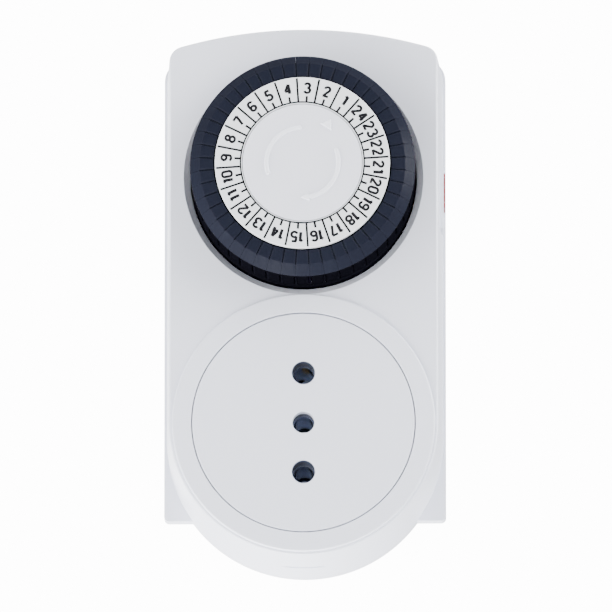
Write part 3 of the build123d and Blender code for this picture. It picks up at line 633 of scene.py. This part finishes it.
# ---- Operators -----------------------------------------------------------------------
class TIMER_OT_finishes(bpy.types.Operator):
    """Make the finishes and put them on the CAD pieces"""

    bl_idname = "timer.finishes"
    bl_label = "Finishes"

    def execute(self, context):
        colours = context.scene.timer_colours
        mould_grain_group()
        edge_wear_group()
        shell = tuple(colours.shell)
        moulded("Housing white", shell, 0.42, relief=0.05)
        moulded("Plate white", tuple(c * 0.99 for c in shell), 0.4, relief=0.05)
        moulded("Tray white", tuple(c * 0.97 for c in shell), 0.45, relief=0.05)
        moulded("Cap white", tuple(colours.cap), 0.4, relief=0.04)
        # painted highlight: the raised marks are the cap's white made lighter
        moulded("Mark white painted highlight", tuple(min(1.0, c * 1.16) for c in colours.cap), 0.2, relief=0.0)
        moulded("Hour ring white", tuple(colours.hour_ring), 0.35, relief=0.01)
        moulded("Tappet navy", tuple(colours.tappet), 0.35, grain=1800.0, relief=0.04,
                drift=0.25, wear=0.15, worn=(0.03, 0.036, 0.05), specular=0.03)
        # painted shade: near-black with no reflection, for the tappets' stems and flanks
        moulded("Stem black painted shade", (0.0025, 0.0025, 0.004), 0.85, specular=0.0)
        # painted shade: the drum in near-black with no reflection, so the band under the dial stays
        # dark
        moulded("Drum black painted shade", (0.005, 0.005, 0.008), 0.8, specular=0.0)
        # also used for the circle of painted shade at the hour ring's bore
        moulded("Print black and painted gap shade", tuple(colours.ink), 0.6, relief=0.02, specular=0.0)
        moulded("Slide red", tuple(colours.slide), 0.35)
        moulded("Gear acetal", (0.74, 0.72, 0.62), 0.4)
        # the holders' own slate colour, also used for the rings of painted shade in the live holes
        moulded("Holder slate and hole shade", (0.05, 0.06, 0.1), 0.5)
        moulded("Sleeve black", (0.012, 0.012, 0.013), 0.45)
        moulded("Lead insulation", (0.55, 0.55, 0.57), 0.45)
        worked_metal("Brass", tuple(colours.brass), 0.28, stretch=(1, 0.1, 1))
        worked_metal("Copper", (0.76, 0.36, 0.2), 0.33, stretch=(1, 1, 0.1))
        worked_metal("Contact nickel", (0.76, 0.82, 1.0), 0.2, stretch=(1, 0.1, 1))
        worked_metal("Tinned copper", (0.5, 0.54, 0.66), 0.4)
        worked_metal("Steel", (0.56, 0.57, 0.58), 0.35)
        worked_metal("Spring steel", (0.42, 0.42, 0.44), 0.3, stretch=(1, 0.2, 1))
        worked_metal("Zinc plate", (0.62, 0.64, 0.66), 0.4, stretch=(0.15, 1, 1))
        worked_metal("Ferrite", (0.06, 0.06, 0.065), 0.55)
        by_slot = {
            "white_shell": "Housing white", "white_back": "Tray white",
            "white_plate": "Plate white", "cap_white": "Cap white",
            "hour_white": "Hour ring white", "tappet_dark": "Tappet navy",
            "drum_grey": "Drum black painted shade", "gear_plastic": "Gear acetal",
            "holder_plastic": "Holder slate and hole shade", "black_plastic": "Sleeve black",
            "red": "Slide red", "brass": "Brass", "copper": "Copper", "steel": "Steel",
            "spring_steel": "Spring steel", "zinc_plate": "Zinc plate",
            "magnet": "Ferrite", "lead_sleeve": "Lead insulation",
        }
        plated = {
            "live_contacts": "Contact nickel", "earth_contact": "Contact nickel",
            "busbars": "Tinned copper",
        }
        slots = {part["node"]: part["material_slot"] for part in frame["record"]["subparts"]}
        for node, piece in frame["nodes"].items():
            finish = bpy.data.materials[plated.get(node, by_slot[slots[node]])]
            if not piece.material_slots:
                piece.data.materials.append(finish)
            for place in piece.material_slots:
                place.material = finish
        return {"FINISHED"}


class TIMER_OT_front_cover(bpy.types.Operator):
    """Front cover: arched shell with the socket boss and the dial's well"""

    bl_idname = "timer.front_cover"
    bl_label = "Front cover"

    def execute(self, context):
        sizes = context.scene.timer_sizes
        edge = sizes.edge_round / MM
        boss = sizes.boss_radius / MM
        opening = sizes.plate_radius / MM + 0.28
        well = sizes.dial_radius / MM + 0.25
        rim = sizes.dial_radius / MM + 1.9
        cover = round_footed("front_cover_shell", DRAFT_GROWTH, PARTING)
        depth = BODY_FRONT - PARTING - edge
        drafted = DRAFT_GROWTH * depth / (BODY_FRONT - PARTING)
        raise_faces(cover, [(drafted, depth)] + round_steps(edge))
        # raised boss, rounded at its edge
        dome = rounded(boss, BODY_FRONT - 1.5, BOSS_FRONT, 0.5, 5)
        add(cover, profile_bar("boss", 0, 0, dome, 192))
        # hollow inside
        hollow = round_footed("hollow", DRAFT_GROWTH - WALL, PARTING - 1)
        raise_faces(hollow, [(DRAFT_GROWTH, BODY_FRONT - WALL - PARTING + 1)])
        # the ring that seats the plate and the well that the dial turns in stay standing
        cut(hollow, bar("seat_ring", 0, 0, opening + 2.2, 20.5, 40, 144))
        cut(hollow, bar("well_ring", 0, DIAL_Z, well + 1.6, 21.5, 40, 144))
        for x, z in SCREW_PLACES:
            cut(hollow, bar("screw_boss", x, z, 3.0, 6.3, 40, 32))
        cut(cover, hollow)
        mouth = [(opening, PLATE_SEAT), (opening, 28.3), (opening + 0.3, 28.6)]
        cut(cover, profile_bar("plate_opening", 0, 0, mouth, 192))
        cut(cover, bar("seat_opening", 0, 0, opening - 1.9, 15, 26, 144))
        bezel = [(well, 15), (well, BODY_FRONT - 2.0), (rim, BODY_FRONT),
                 (rim + 0.2, BODY_FRONT + 0.2)]
        cut(cover, profile_bar("dial_well", 0, DIAL_Z, bezel, 192))
        for x, z in SCREW_PLACES:
            cut(cover, bar("pilot", x, z, 1.5, 5, 15.7, 24))
        # raised frame round the slot of the override slide
        surround = block("slot_frame", 35.4, SLOT_Z, 1.2, 15.7, 8.3, 16.7)
        apply_modifier(surround, "BEVEL", width=0.25 * MM, segments=2)
        add(cover, surround)
        cut(cover, block("slide_slot", 35.2, SLOT_Z, 6, 14.3, 9.0, 16.0))
        cut(cover, block("thumb_notch", 0, -35.24, 17, 1.0, 13.3, 14.5))
        finish_surface(cover)
        dress(cover, "Housing white", "housing", "white_shell", "front_cover")
        return {"FINISHED"}


class TIMER_OT_rear_cover(bpy.types.Operator):
    """Rear cover: shallow tray with the seats of the plug pins and screws"""

    bl_idname = "timer.rear_cover"
    bl_label = "Rear cover"

    def execute(self, context):
        half = context.scene.timer_sizes.face_half_width / MM
        tray = square_footed(
            "rear_cover_tray", DRAFT_GROWTH + 0.7, 0.0, 20.9, 1.3, half + DRAFT_GROWTH)
        thicken(tray, PARTING)
        near_front = -(PARTING - 0.01) * MM
        bevel_edges(tray, lambda a, b: min(a.y, b.y) > -1e-6, 0.4, 3)
        bevel_edges(tray, lambda a, b: max(a.y, b.y) < near_front, 0.15, 2)
        lip = round_footed("lip", DRAFT_GROWTH - WALL - 0.2, WALL)
        thicken(lip, PARTING - WALL + 2.0)
        add(tray, lip)
        hollow = round_footed("hollow", DRAFT_GROWTH - WALL - 1.4, WALL)
        thicken(hollow, PARTING - WALL + 3.0)
        cut(tray, hollow)
        for x, z in CHASSIS_POSTS:
            add(tray, bar("chassis_post", x, z, 3.0, 1.5, 14.0, 32))
            cut(tray, bar("post_bore", x, z, 1.1, 8.0, 15.0, 24))
        head_seat = [(3.25, -1), (3.25, -0.01), (2.95, 0.29), (2.95, 2.6)]
        for x, z in SCREW_PLACES:
            add(tray, bar("screw_tower", x, z, 4.2, 1.5, PARTING, 32))
            add(tray, bar("screw_tube", x, z, 3.0, 1.5, 6.1, 32))
            cut(tray, bar("screw_bore", x, z, 1.75, 1, 7, 24))
            cut(tray, profile_bar("head_seat", x, z, head_seat, 40))
        for z in PIN_ROWS:
            cut(tray, bar("pin_hole", 0, z, PIN_COLLAR, -1, 3, 64))
        finish_surface(tray)
        dress(tray, "Tray white", "housing", "white_back", "rear_cover")
        return {"FINISHED"}


class TIMER_OT_socket_plate(bpy.types.Operator):
    """Socket plate: round plate with three pin holes in a line; the live holes get dark rings of
    painted shade
    """

    bl_idname = "timer.socket_plate"
    bl_label = "Socket plate"

    def execute(self, context):
        sizes = context.scene.timer_sizes
        disc = rounded(sizes.plate_radius / MM, PLATE_SEAT, BOSS_FRONT, 0.3)
        plate = profile_bar("socket_plate_disc", 0, 0, disc, 192)
        hole = sizes.pin_hole_radius / MM
        for z in PIN_ROWS:
            # the live holes are cut wider to take the rings of painted shade
            seat = hole + SHADE_RING_WALL if z in LIVE_ROWS else hole
            flare = [(seat, 24), (seat, 28.3), (seat + 0.12, 28.46), (seat + 0.4, 28.56)]
            cut(plate, profile_bar("pin_hole", 0, z, flare, 64))
        finish_surface(plate)
        dress(plate, "Plate white", "housing", "white_plate", "socket_plate")
        # painted shade: dark rings line the live holes, where the plate's white bore walls lie in
        # shade
        shade_rings = []
        outer = hole + SHADE_RING_WALL - 0.01
        for z in LIVE_ROWS:
            wall = [(outer, PLATE_SEAT), (outer, 28.28), (outer - 0.04, 28.33)]
            shade_ring = profile_bar("shade_ring", 0, z, wall, 64)
            cut(shade_ring, bar("shade_ring_bore", 0, z, hole, 24, 29, 64))
            shade_rings.append(shade_ring)
        hole_shade = join(shade_rings, "live_hole_bushes")
        finish_surface(hole_shade)
        dress(hole_shade, "Holder slate and hole shade", "housing", "holder_plastic")
        return {"FINISHED"}


class TIMER_OT_tappets(bpy.types.Operator):
    """Tappets: 48 push-in segments round the dial, two for each hour"""

    bl_idname = "timer.tappets"
    bl_label = "Tappets"

    def execute(self, context):
        inner, outer = TAPPET_INNER, context.scene.timer_sizes.dial_radius / MM
        pitch = TAU / 48
        head = self.segment("tappet_head", pitch - 0.03 / outer, (
            (inner, 39.0), (outer, 39.0), (outer, TAPPET_EDGE), (26.4, 43.2), (inner, 43.5)))
        bevel_edges(head, lambda a, b: self.along_side(a, b, 43.1, 44.0), 0.5, 3)
        bevel_edges(head, lambda a, b: self.along_side(a, b, 40.1, 43.25), 0.04, 1)
        bevel_edges(head, self.round_rim, 0.2, 2)
        stem = self.segment("tappet_stem", pitch - 0.74 / inner, (
            (inner, 22.0), (28.0, 22.0), (28.0, 30.3),
            (28.88, 30.3), (28.88, 39.05), (inner, 39.05)))
        master = join([head, stem], "tappet")
        for hour in range(1, 25):
            halves = []
            for half in (-0.5, 0.5):
                turn = FIRST_HOUR + (hour - 1) * TAU / 24 + half * pitch
                halves.append(copy_turned(master, f"half_{half}", turn))
            pair = join(halves, f"tappet_pair_{hour:02d}")
            finish_surface(pair, 35.0)
            dress(pair, "Tappet navy", f"tappets_{hour:02d}", "tappet_dark",
                  f"tappets_hour_{hour:02d}")
            self.darken_stem(pair)
        bpy.data.objects.remove(master, do_unlink=True)
        return {"FINISHED"}

    def darken_stem(self, pair):
        """Paint shade on the stem and on the head's flanks below its front: they get a near-black
        finish with no reflection.
        """
        pair.data.materials.append(bpy.data.materials["Stem black painted shade"])
        for face in pair.data.polygons:
            height = self.polar(face.center)[2]
            flank = abs(face.normal.y) < 0.2
            if height < TAPPET_EDGE - 0.05 or (flank and height < 43.0):
                face.material_index = 1

    def segment(self, name, arc, profile):
        """Sector of the dial with this (radius, height) profile, centred on +X."""
        object_mode()
        bpy.ops.mesh.primitive_circle_add(
            vertices=len(profile), radius=MM, fill_type="NGON", location=DIAL_CENTRE)
        piece = bpy.context.object
        piece.name = name
        settle(piece)
        for vertex, (radius, height) in zip(piece.data.vertices, profile):
            point = Vector((radius * MM, -height * MM, 0))
            turned = Matrix.Rotation(-arc / 2, 3, TOWARDS_USER) @ point
            vertex.co = turned + DIAL_CENTRE
        edit_all(piece, "FACE")
        bpy.ops.mesh.spin(steps=3, angle=arc, axis=SPIN_AXIS, center=DIAL_CENTRE)
        bpy.ops.object.mode_set(mode="OBJECT")
        outwards(piece)
        return piece

    def polar(self, point):
        """Radius and angle of a point about the dial axis, and its height in front of the back."""
        across, up = point.x / MM, point.z / MM - DIAL_Z
        return math.hypot(across, up), math.atan2(up, across), -point.y / MM

    def along_side(self, a, b, low, high):
        """Edges that run outwards along a segment's two sides, between two heights."""
        first, second = self.polar(a), self.polar(b)
        at_side = abs(first[1] - second[1]) < 1e-4 and abs(first[1]) > math.radians(3.2)
        return at_side and min(first[2], second[2]) > low and max(first[2], second[2]) < high

    def round_rim(self, a, b):
        """Edges that run round the segment, where the slope meets the front and the side."""
        first, second = self.polar(a), self.polar(b)
        level = abs(first[2] - second[2]) < 1e-3 and abs(first[0] - second[0]) < 1e-2
        return level and first[2] > 40.1 and first[0] > 24


class TIMER_OT_hour_ring(bpy.types.Operator):
    """Hour ring with its printed numbers and lines, and a circle of painted shade at its bore"""

    bl_idname = "timer.hour_ring"
    bl_label = "Hour ring"

    def execute(self, context):
        disc = rounded(RING_RADIUS, 43.0, RING_FRONT, 0.2, 3)
        bore = [(RING_BORE, 42), (RING_BORE, 44.45), (RING_BORE + 0.2, 44.7)]
        ring = profile_bar("hour_ring_disc", 0, DIAL_Z, disc, 192)
        cut(ring, profile_bar("ring_bore", 0, DIAL_Z, bore, 192))
        finish_surface(ring)
        dress(ring, "Hour ring white", "dial", "hour_white", "hour_ring")
        printed = []
        unit = context.scene.timer_sizes.numeral_height / MM - PEN
        digits = {figure: self.digit(figure, unit) for figure in PEN_STROKES}
        for hour in range(1, 25):
            middle = FIRST_HOUR + (hour - 1) * TAU / 24
            printed += self.numeral(digits, hour, middle, unit)
            printed.append(self.line(middle, 15.9, 17.5, 0.55))
            printed.append(self.line(middle + TAU / 48, 15.8, 22.2, 0.5))
        # painted shade: a dark ink circle at the bore stands for the shadow of the gap between the
        # ring and the cap
        circle = bar("painted_gap_shade", 0, DIAL_Z, 16.1, RING_FRONT - INK * 0.1,
                     RING_FRONT + INK * 0.9, 144)
        hole = bar("painted_gap_shade_bore", 0, DIAL_Z, 15.72, RING_FRONT - 1, RING_FRONT + 1, 144)
        cut(circle, hole)
        printed.append(circle)
        for master in digits.values():
            bpy.data.objects.remove(master, do_unlink=True)
        ink = join(printed, "hour_print")
        outwards(ink)
        dress(ink, "Print black and painted gap shade", "dial", "hour_white")
        return {"FINISHED"}

    def on_ring(self, angle):
        """Place on the ring's face, turned so that the top of what stands there is outwards."""
        outward = Matrix.Rotation(angle - math.pi / 2, 4, TOWARDS_USER)
        face = Matrix.Translation((0, -(RING_FRONT + INK * 0.4) * MM, DIAL_Z * MM))
        return face @ outward

    def digit(self, figure, unit):
        """One figure as printed ink: pen strokes along paths, pressed flat."""
        strokes = []
        for start, path in PEN_STROKES[figure]:
            moves = []
            for kind, (across, up), *turn in path:
                turning = [(math.radians(angle), math.ceil(abs(angle) / 15)) for angle in turn]
                moves.append((kind, (across * unit, up * unit), *sum(turning, ())))
            stroke = walk_path("stroke", 0, (start[0] * unit, start[1] * unit), moves)
            work_on(stroke)
            bpy.ops.object.convert(target="CURVE")
            line = bpy.context.object
            line.data.bevel_depth = PEN / 2 * MM
            line.data.bevel_resolution = 1
            line.data.fill_mode = "FULL"
            line.data.use_fill_caps = True
            bpy.ops.object.convert(target="MESH")
            strokes.append(bpy.context.object)
        figure_print = join(strokes, f"figure_{figure}")
        figure_print.data.transform(Matrix.Diagonal((FIGURE_SPREAD, INK / PEN, 1, 1)))
        outwards(figure_print)
        return figure_print

    def numeral(self, digits, hour, angle, unit):
        """One hour number as copies of its figures."""
        figures = str(hour)
        widths = [(0.28 if figure == "1" else 0.5) * unit * FIGURE_SPREAD for figure in figures]
        gap = PEN * FIGURE_SPREAD + 0.04
        across = -(sum(widths) + gap * (len(figures) - 1)) / 2
        copies = []
        for figure, width in zip(figures, widths):
            piece = digits[figure].copy()
            piece.data = digits[figure].data.copy()
            bpy.context.collection.objects.link(piece)
            up = Matrix.Translation((across * MM, 0, (NUMBER_CIRCLE - unit / 2) * MM))
            piece.data.transform(self.on_ring(angle) @ up)
            copies.append(piece)
            across += width + gap
        return copies

    def line(self, angle, inner, outer, width):
        """One printed line that runs outwards."""
        mark = block("mark", 0, (inner + outer) / 2, width, outer - inner, -INK / 2, INK / 2)
        mark.data.transform(self.on_ring(angle))
        return mark


class TIMER_OT_pointer_cap(bpy.types.Operator):
    """Pointer cap: the fixed disc with its raised arrow marks"""

    bl_idname = "timer.pointer_cap"
    bl_label = "Pointer cap"

    def execute(self, context):
        disc = rounded(15.35, 42.75, CAP_FRONT, 0.2)
        cap = profile_bar("pointer_cap_disc", 0, DIAL_Z, disc, 160)
        add(cap, bar("cap_hub", 0, DIAL_Z, 5.0, 36.25, 43.0, 64))
        cut(cap, bar("hub_bore", 0, DIAL_Z, 3.0, 35.0, 42.55, 48))
        finish_surface(cap)
        marks = [self.arrow(), self.arc(94.0, 103.0), self.arc(-79.0, 99.0, pointed=True)]
        raised = join(marks, "pointer_marks")
        finish_surface(raised, 40.0)
        dress(cap, "Cap white", "housing", "cap_white", "pointer_cap")
        # the marks' lighter white is a painted highlight
        dress(raised, "Mark white painted highlight", "housing", "cap_white")
        return {"FINISHED"}

    def arrow(self):
        """Raised triangle that points at the hour."""
        object_mode()
        bpy.ops.mesh.primitive_circle_add(vertices=3, radius=MM, fill_type="NGON")
        arrow = bpy.context.object
        settle(arrow)
        corners = ((11.0, -1.75), (13.6, 0.0), (11.0, 1.75))
        turn = Matrix.Rotation(math.radians(57.0), 3, TOWARDS_USER)
        for vertex, (out, across) in zip(arrow.data.vertices, corners):
            vertex.co = turn @ Vector((out * MM, -MARK_FOOT * MM, across * MM)) + DIAL_CENTRE
        if arrow.data.polygons[0].normal.y > 0:
            arrow.data.flip_normals()
        self.rise(arrow)
        return arrow

    def rise(self, piece):
        """Lift a flat mark off the cap and round its top."""
        edit_all(piece, "FACE")
        bpy.ops.mesh.extrude_region_move(
            TRANSFORM_OT_translate={"value": (0, -MARK_RISE * MM, 0)})
        for inwards, forwards in ((0.05, 0.16), (0.1, 0.1), (0.14, 0.06), (0.16, 0.03)):
            bpy.ops.mesh.inset(thickness=inwards * MM, depth=forwards * MM)
        bpy.ops.object.mode_set(mode="OBJECT")
        outwards(piece)

    def arc(self, start, sweep, pointed=False):
        """Raised arc, from a start in degrees; its start is round or an arrow's point."""
        begin = math.radians(start)
        end = begin + math.radians(sweep)
        inner, outer = ARC_RADIUS - ARC_HALF_WIDTH, ARC_RADIUS + ARC_HALF_WIDTH
        moves = [
            (ARC, (0, DIAL_Z), end - begin, 28),
            (ARC, self.on_circle(ARC_RADIUS, end), math.pi, 8),
            (ARC, (0, DIAL_Z), begin - end, 28),
        ]
        if pointed:
            back = math.radians(start - 15.0)
            path = [self.on_circle(radius, angle) for radius, angle in (
                (inner, begin), (8.1, begin), (ARC_RADIUS, back), (10.4, begin), (outer, begin))]
            for one, two in zip(path, path[1:]):
                moves.append((LINE, (two[0] - one[0], two[1] - one[1])))
        else:
            moves.append((ARC, self.on_circle(ARC_RADIUS, begin), math.pi, 8))
        piece = walk_outline("cap_arc", MARK_FOOT, self.on_circle(outer, begin), moves)
        self.rise(piece)
        return piece

    def on_circle(self, radius, angle):
        """Point at this radius and angle from the dial axis."""
        return radius * math.cos(angle), DIAL_Z + radius * math.sin(angle)


class TIMER_OT_override_slide(bpy.types.Operator):
    """Override slide: ribbed slide in the right side wall"""

    bl_idname = "timer.override_slide"
    bl_label = "Override slide"

    def execute(self, context):
        depth = 3.72
        slide = block("override_slide_knob", SLIDE_FACE - depth / 2, SLIDE_Z, depth, 9.0, 9.3, 15.7)
        for rib in range(4):
            z = SLIDE_Z + (rib - 1.5) * 1.8
            cut(slide, block("groove", SLIDE_FACE, z, 0.8, 0.4, 8, 17))
        apply_modifier(slide, "BEVEL", width=0.12 * MM, segments=2, limit_method="ANGLE",
                       angle_limit=math.radians(40), use_clamp_overlap=True)
        flange = block("flange", 31.91, SLIDE_Z + 0.3, 1.5, 11.4, 7.5, 16.75)
        apply_modifier(flange, "BEVEL", width=0.15 * MM, segments=2)
        whole = join([slide, flange], "override_slide_knob")
        finish_surface(whole, 40.0)
        dress(whole, "Slide red", "override", "red", "override_slider")
        return {"FINISHED"}


class TIMER_OT_plug(bpy.types.Operator):
    """Plug: three pins, the two outer ones with insulating sleeves"""

    bl_idname = "timer.plug"
    bl_label = "Plug"

    def execute(self, context):
        tip = [(1.25, -19.0), (1.6, -18.9), (2.1, -18.55), (2.4, -18.1), (PIN_RADIUS, -17.6)]
        neck = [(PIN_RADIUS, -10.0), (2.0, -10.0), (2.0, 0.0)]
        collar = [(PIN_COLLAR, 0.0), (PIN_COLLAR, 2.0), (3.4, 2.0), (3.4, PARTING)]
        covered = [(2.42, -10.0), (PIN_RADIUS, -9.9), (PIN_RADIUS, 0.0)]
        earth = profile_bar("earth_pin_turned", 0, 0, tip + [(PIN_RADIUS, 0.0)] + collar, 64)
        finish_surface(earth)
        dress(earth, "Brass", "housing", "brass", "earth_pin")
        pins, sleeves = [], []
        for z in LIVE_ROWS:
            pins.append(profile_bar("pin", 0, z, tip + neck + collar, 64))
            sleeve = profile_bar("sleeve", 0, z, covered, 64)
            cut(sleeve, bar("sleeve_bore", 0, z, 2.0, -11, 1, 64))
            sleeves.append(sleeve)
        live = join(pins, "live_pins_turned")
        finish_surface(live)
        dress(live, "Brass", "housing", "brass", "live_pins")
        covers = join(sleeves, "pin_sleeves_moulded")
        finish_surface(covers)
        dress(covers, "Sleeve black", "housing", "black_plastic", "pin_sleeves")
        return {"FINISHED"}


class TIMER_OT_screws(bpy.types.Operator):
    """Housing screws: four slotted screws in the back"""

    bl_idname = "timer.screws"
    bl_label = "Housing screws"

    def execute(self, context):
        screws = []
        head = [(2.3, 0.6), (2.6, 0.72), (2.7, 1.0), (2.7, 2.6)]
        shank = [(1.5, 2.6), (1.5, 15.0), (1.1, 15.3)]
        for x, z in SCREW_PLACES:
            screw = profile_bar("screw", x, z, head + shank, 48)
            cut(screw, block("slot", x, z, 6.0, 0.8, 0.0, 1.6))
            screws.append(screw)
        whole = join(screws, "housing_screws_turned")
        finish_surface(whole)
        dress(whole, "Steel", "housing", "steel", "housing_screws")
        return {"FINISHED"}


# Square lamps: name, place, width and power, in metres and watts.
LAMPS = (
    ("Light from the left and below", (-0.45, -0.3, -0.5), 1.0, 14.0),
    ("Light from below", (-0.25, 0.35, -1.0), 0.9, 42.0),
    ("Light from the right", (1.0, -0.1, 0.3), 0.5, 17.0),
    ("Light from the right, in front", (0.7, -0.7, 0.4), 0.8, 9.0),
    ("Light from the left, in front", (-0.8, -0.6, 0.1), 0.8, 7.0),
    ("Light from behind, left", (-0.7, 1.1, 0.15), 0.6, 12.0),
)


class TIMER_OT_stage(bpy.types.Operator):
    """Stage: pale floor, soft light and the camera"""

    bl_idname = "timer.stage"
    bl_label = "Stage"

    def execute(self, context):
        object_mode()
        bpy.ops.mesh.primitive_plane_add(size=20.0, location=(0, 0, -1.3))
        floor = bpy.context.object
        floor.name = "floor"
        settle(floor)
        floor.data.materials.append(
            moulded("Floor paper", (0.9, 0.9, 0.9), 0.8, grain=300.0, relief=0.01, drift=0.01))
        self.light_room(context)
        for name, place, size, power in LAMPS:
            self.lamp(name, place, size, power)
        lens = bpy.data.cameras.new("Camera")
        camera = bpy.data.objects.new("Camera", lens)
        context.collection.objects.link(camera)
        self.aim(camera, lens)
        context.scene.camera = camera
        return {"FINISHED"}

    def light_room(self, context):
        """White tent round the sides, open and dark where the user stands and dim behind."""
        world = bpy.data.worlds.new("Pale room")
        context.scene.world = world
        world.use_nodes = True
        tree = world.node_tree
        nodes, links = tree.nodes, tree.links
        room = nodes["Background"]
        room.inputs["Color"].default_value = (0.95, 0.97, 1.0, 1)
        towards = nodes.new("ShaderNodeVectorMath")
        towards.operation = "DOT_PRODUCT"
        towards.inputs[1].default_value = (0.0, -0.98, 0.2)
        links.new(nodes.new("ShaderNodeTexCoord").outputs["Generated"], towards.inputs[0])
        half = nodes.new("ShaderNodeMapRange")
        half.inputs["From Min"].default_value = -1.0
        links.new(towards.outputs["Value"], half.inputs["Value"])
        tent = nodes.new("ShaderNodeValToRGB")
        tent.color_ramp.interpolation = "EASE"
        glow = tent.color_ramp.elements
        behind, front = glow
        behind.position, behind.color = 0.42, (0.1, 0.1, 0.1, 1)
        front.position, front.color = 0.96, (0.03, 0.03, 0.03, 1)
        for position in (0.54, 0.8):
            glow.new(position).color = (1.0, 1.0, 1.0, 1)
        links.new(half.outputs["Result"], tent.inputs["Fac"])
        links.new(calculate(tree, "MULTIPLY", tent.outputs["Color"], 2.8), room.inputs["Strength"])
        # the camera sees a plain white backdrop
        seen = nodes.new("ShaderNodeBackground")
        seen.inputs["Color"].default_value = (1, 1, 1, 1)
        seen.inputs["Strength"].default_value = 14.0
        mix = nodes.new("ShaderNodeMixShader")
        links.new(nodes.new("ShaderNodeLightPath").outputs["Is Camera Ray"], mix.inputs["Fac"])
        links.new(room.outputs["Background"], mix.inputs[1])
        links.new(seen.outputs["Background"], mix.inputs[2])
        links.new(mix.outputs["Shader"], nodes["World Output"].inputs["Surface"])

    def aim(self, camera, lens):
        """Long lens, a little below the middle of the housing."""
        distance, view_width = 5.2, 0.1573
        elevation, yaw = math.radians(-12.4), math.radians(1.0)
        lens.sensor_width = 36.0
        lens.lens = lens.sensor_width * distance / view_width
        lens.clip_start, lens.clip_end = 0.1, 30.0
        back = Vector((math.sin(yaw) * math.cos(elevation), -math.cos(yaw) * math.cos(elevation),
                       math.sin(elevation)))
        # the boss's middle on the front face sits at this pixel, in a picture of 612 by 612
        across, down, middle = 303.5, 422.9, 306.0
        pixel = view_width / (2 * middle)
        right = Vector((math.cos(yaw), math.sin(yaw), 0))
        up = right.cross(-back)
        anchor = Vector((0, -BODY_FRONT * MM, 0))
        target = anchor - right * ((across - middle) * pixel) - up * ((middle - down) * pixel)
        camera.location = target + back * distance
        camera.rotation_mode = "QUATERNION"
        camera.rotation_quaternion = (-back).to_track_quat("-Z", "Y")

    def lamp(self, name, place, size, power):
        """Square soft light that looks at the middle of the timer."""
        light = bpy.data.lights.new(name, "AREA")
        light.size = size
        light.energy = power
        lamp = bpy.data.objects.new(name, light)
        bpy.context.collection.objects.link(lamp)
        lamp.location = place
        lamp.rotation_mode = "QUATERNION"
        middle = Vector((0, 0, 0.035))
        lamp.rotation_quaternion = (middle - Vector(place)).to_track_quat("-Z", "Y")


class TIMER_PT_panel(bpy.types.Panel):
    """Sidebar panel that lists the settings and the steps"""

    bl_idname = "TIMER_PT_panel"
    bl_label = "Plug in timer"
    bl_space_type = "VIEW_3D"
    bl_region_type = "UI"
    bl_category = "Timer"

    def draw(self, context):
        layout = self.layout
        for group in (context.scene.timer_sizes, context.scene.timer_colours):
            box = layout.box()
            for name in group.bl_rna.properties.keys():
                if name not in ("rna_type", "name"):
                    box.prop(group, name)
        for operator in OPERATORS:
            layout.operator(operator.bl_idname)


OPERATORS = (
    TIMER_OT_finishes,
    TIMER_OT_front_cover,
    TIMER_OT_rear_cover,
    TIMER_OT_socket_plate,
    TIMER_OT_tappets,
    TIMER_OT_hour_ring,
    TIMER_OT_pointer_cap,
    TIMER_OT_override_slide,
    TIMER_OT_plug,
    TIMER_OT_screws,
    TIMER_OT_stage,
)
CLASSES = (TimerSizes, TimerColours, *OPERATORS, TIMER_PT_panel)


def register():
    """Register the classes and hang the settings on the scene."""
    for cls in CLASSES:
        bpy.utils.register_class(cls)
    bpy.types.Scene.timer_sizes = bpy.props.PointerProperty(type=TimerSizes)
    bpy.types.Scene.timer_colours = bpy.props.PointerProperty(type=TimerColours)


def unregister():
    """Take the settings and classes away again."""
    del bpy.types.Scene.timer_colours
    del bpy.types.Scene.timer_sizes
    for cls in reversed(CLASSES):
        bpy.utils.unregister_class(cls)


def main():
    """Build every piece in order."""
    register()
    bpy.ops.timer.finishes()
    bpy.ops.timer.front_cover()
    bpy.ops.timer.rear_cover()
    bpy.ops.timer.socket_plate()
    bpy.ops.timer.tappets()
    bpy.ops.timer.hour_ring()
    bpy.ops.timer.pointer_cap()
    bpy.ops.timer.override_slide()
    bpy.ops.timer.plug()
    bpy.ops.timer.screws()
    bpy.ops.timer.stage()
    object_mode()


if __name__ == "__main__":
    main()
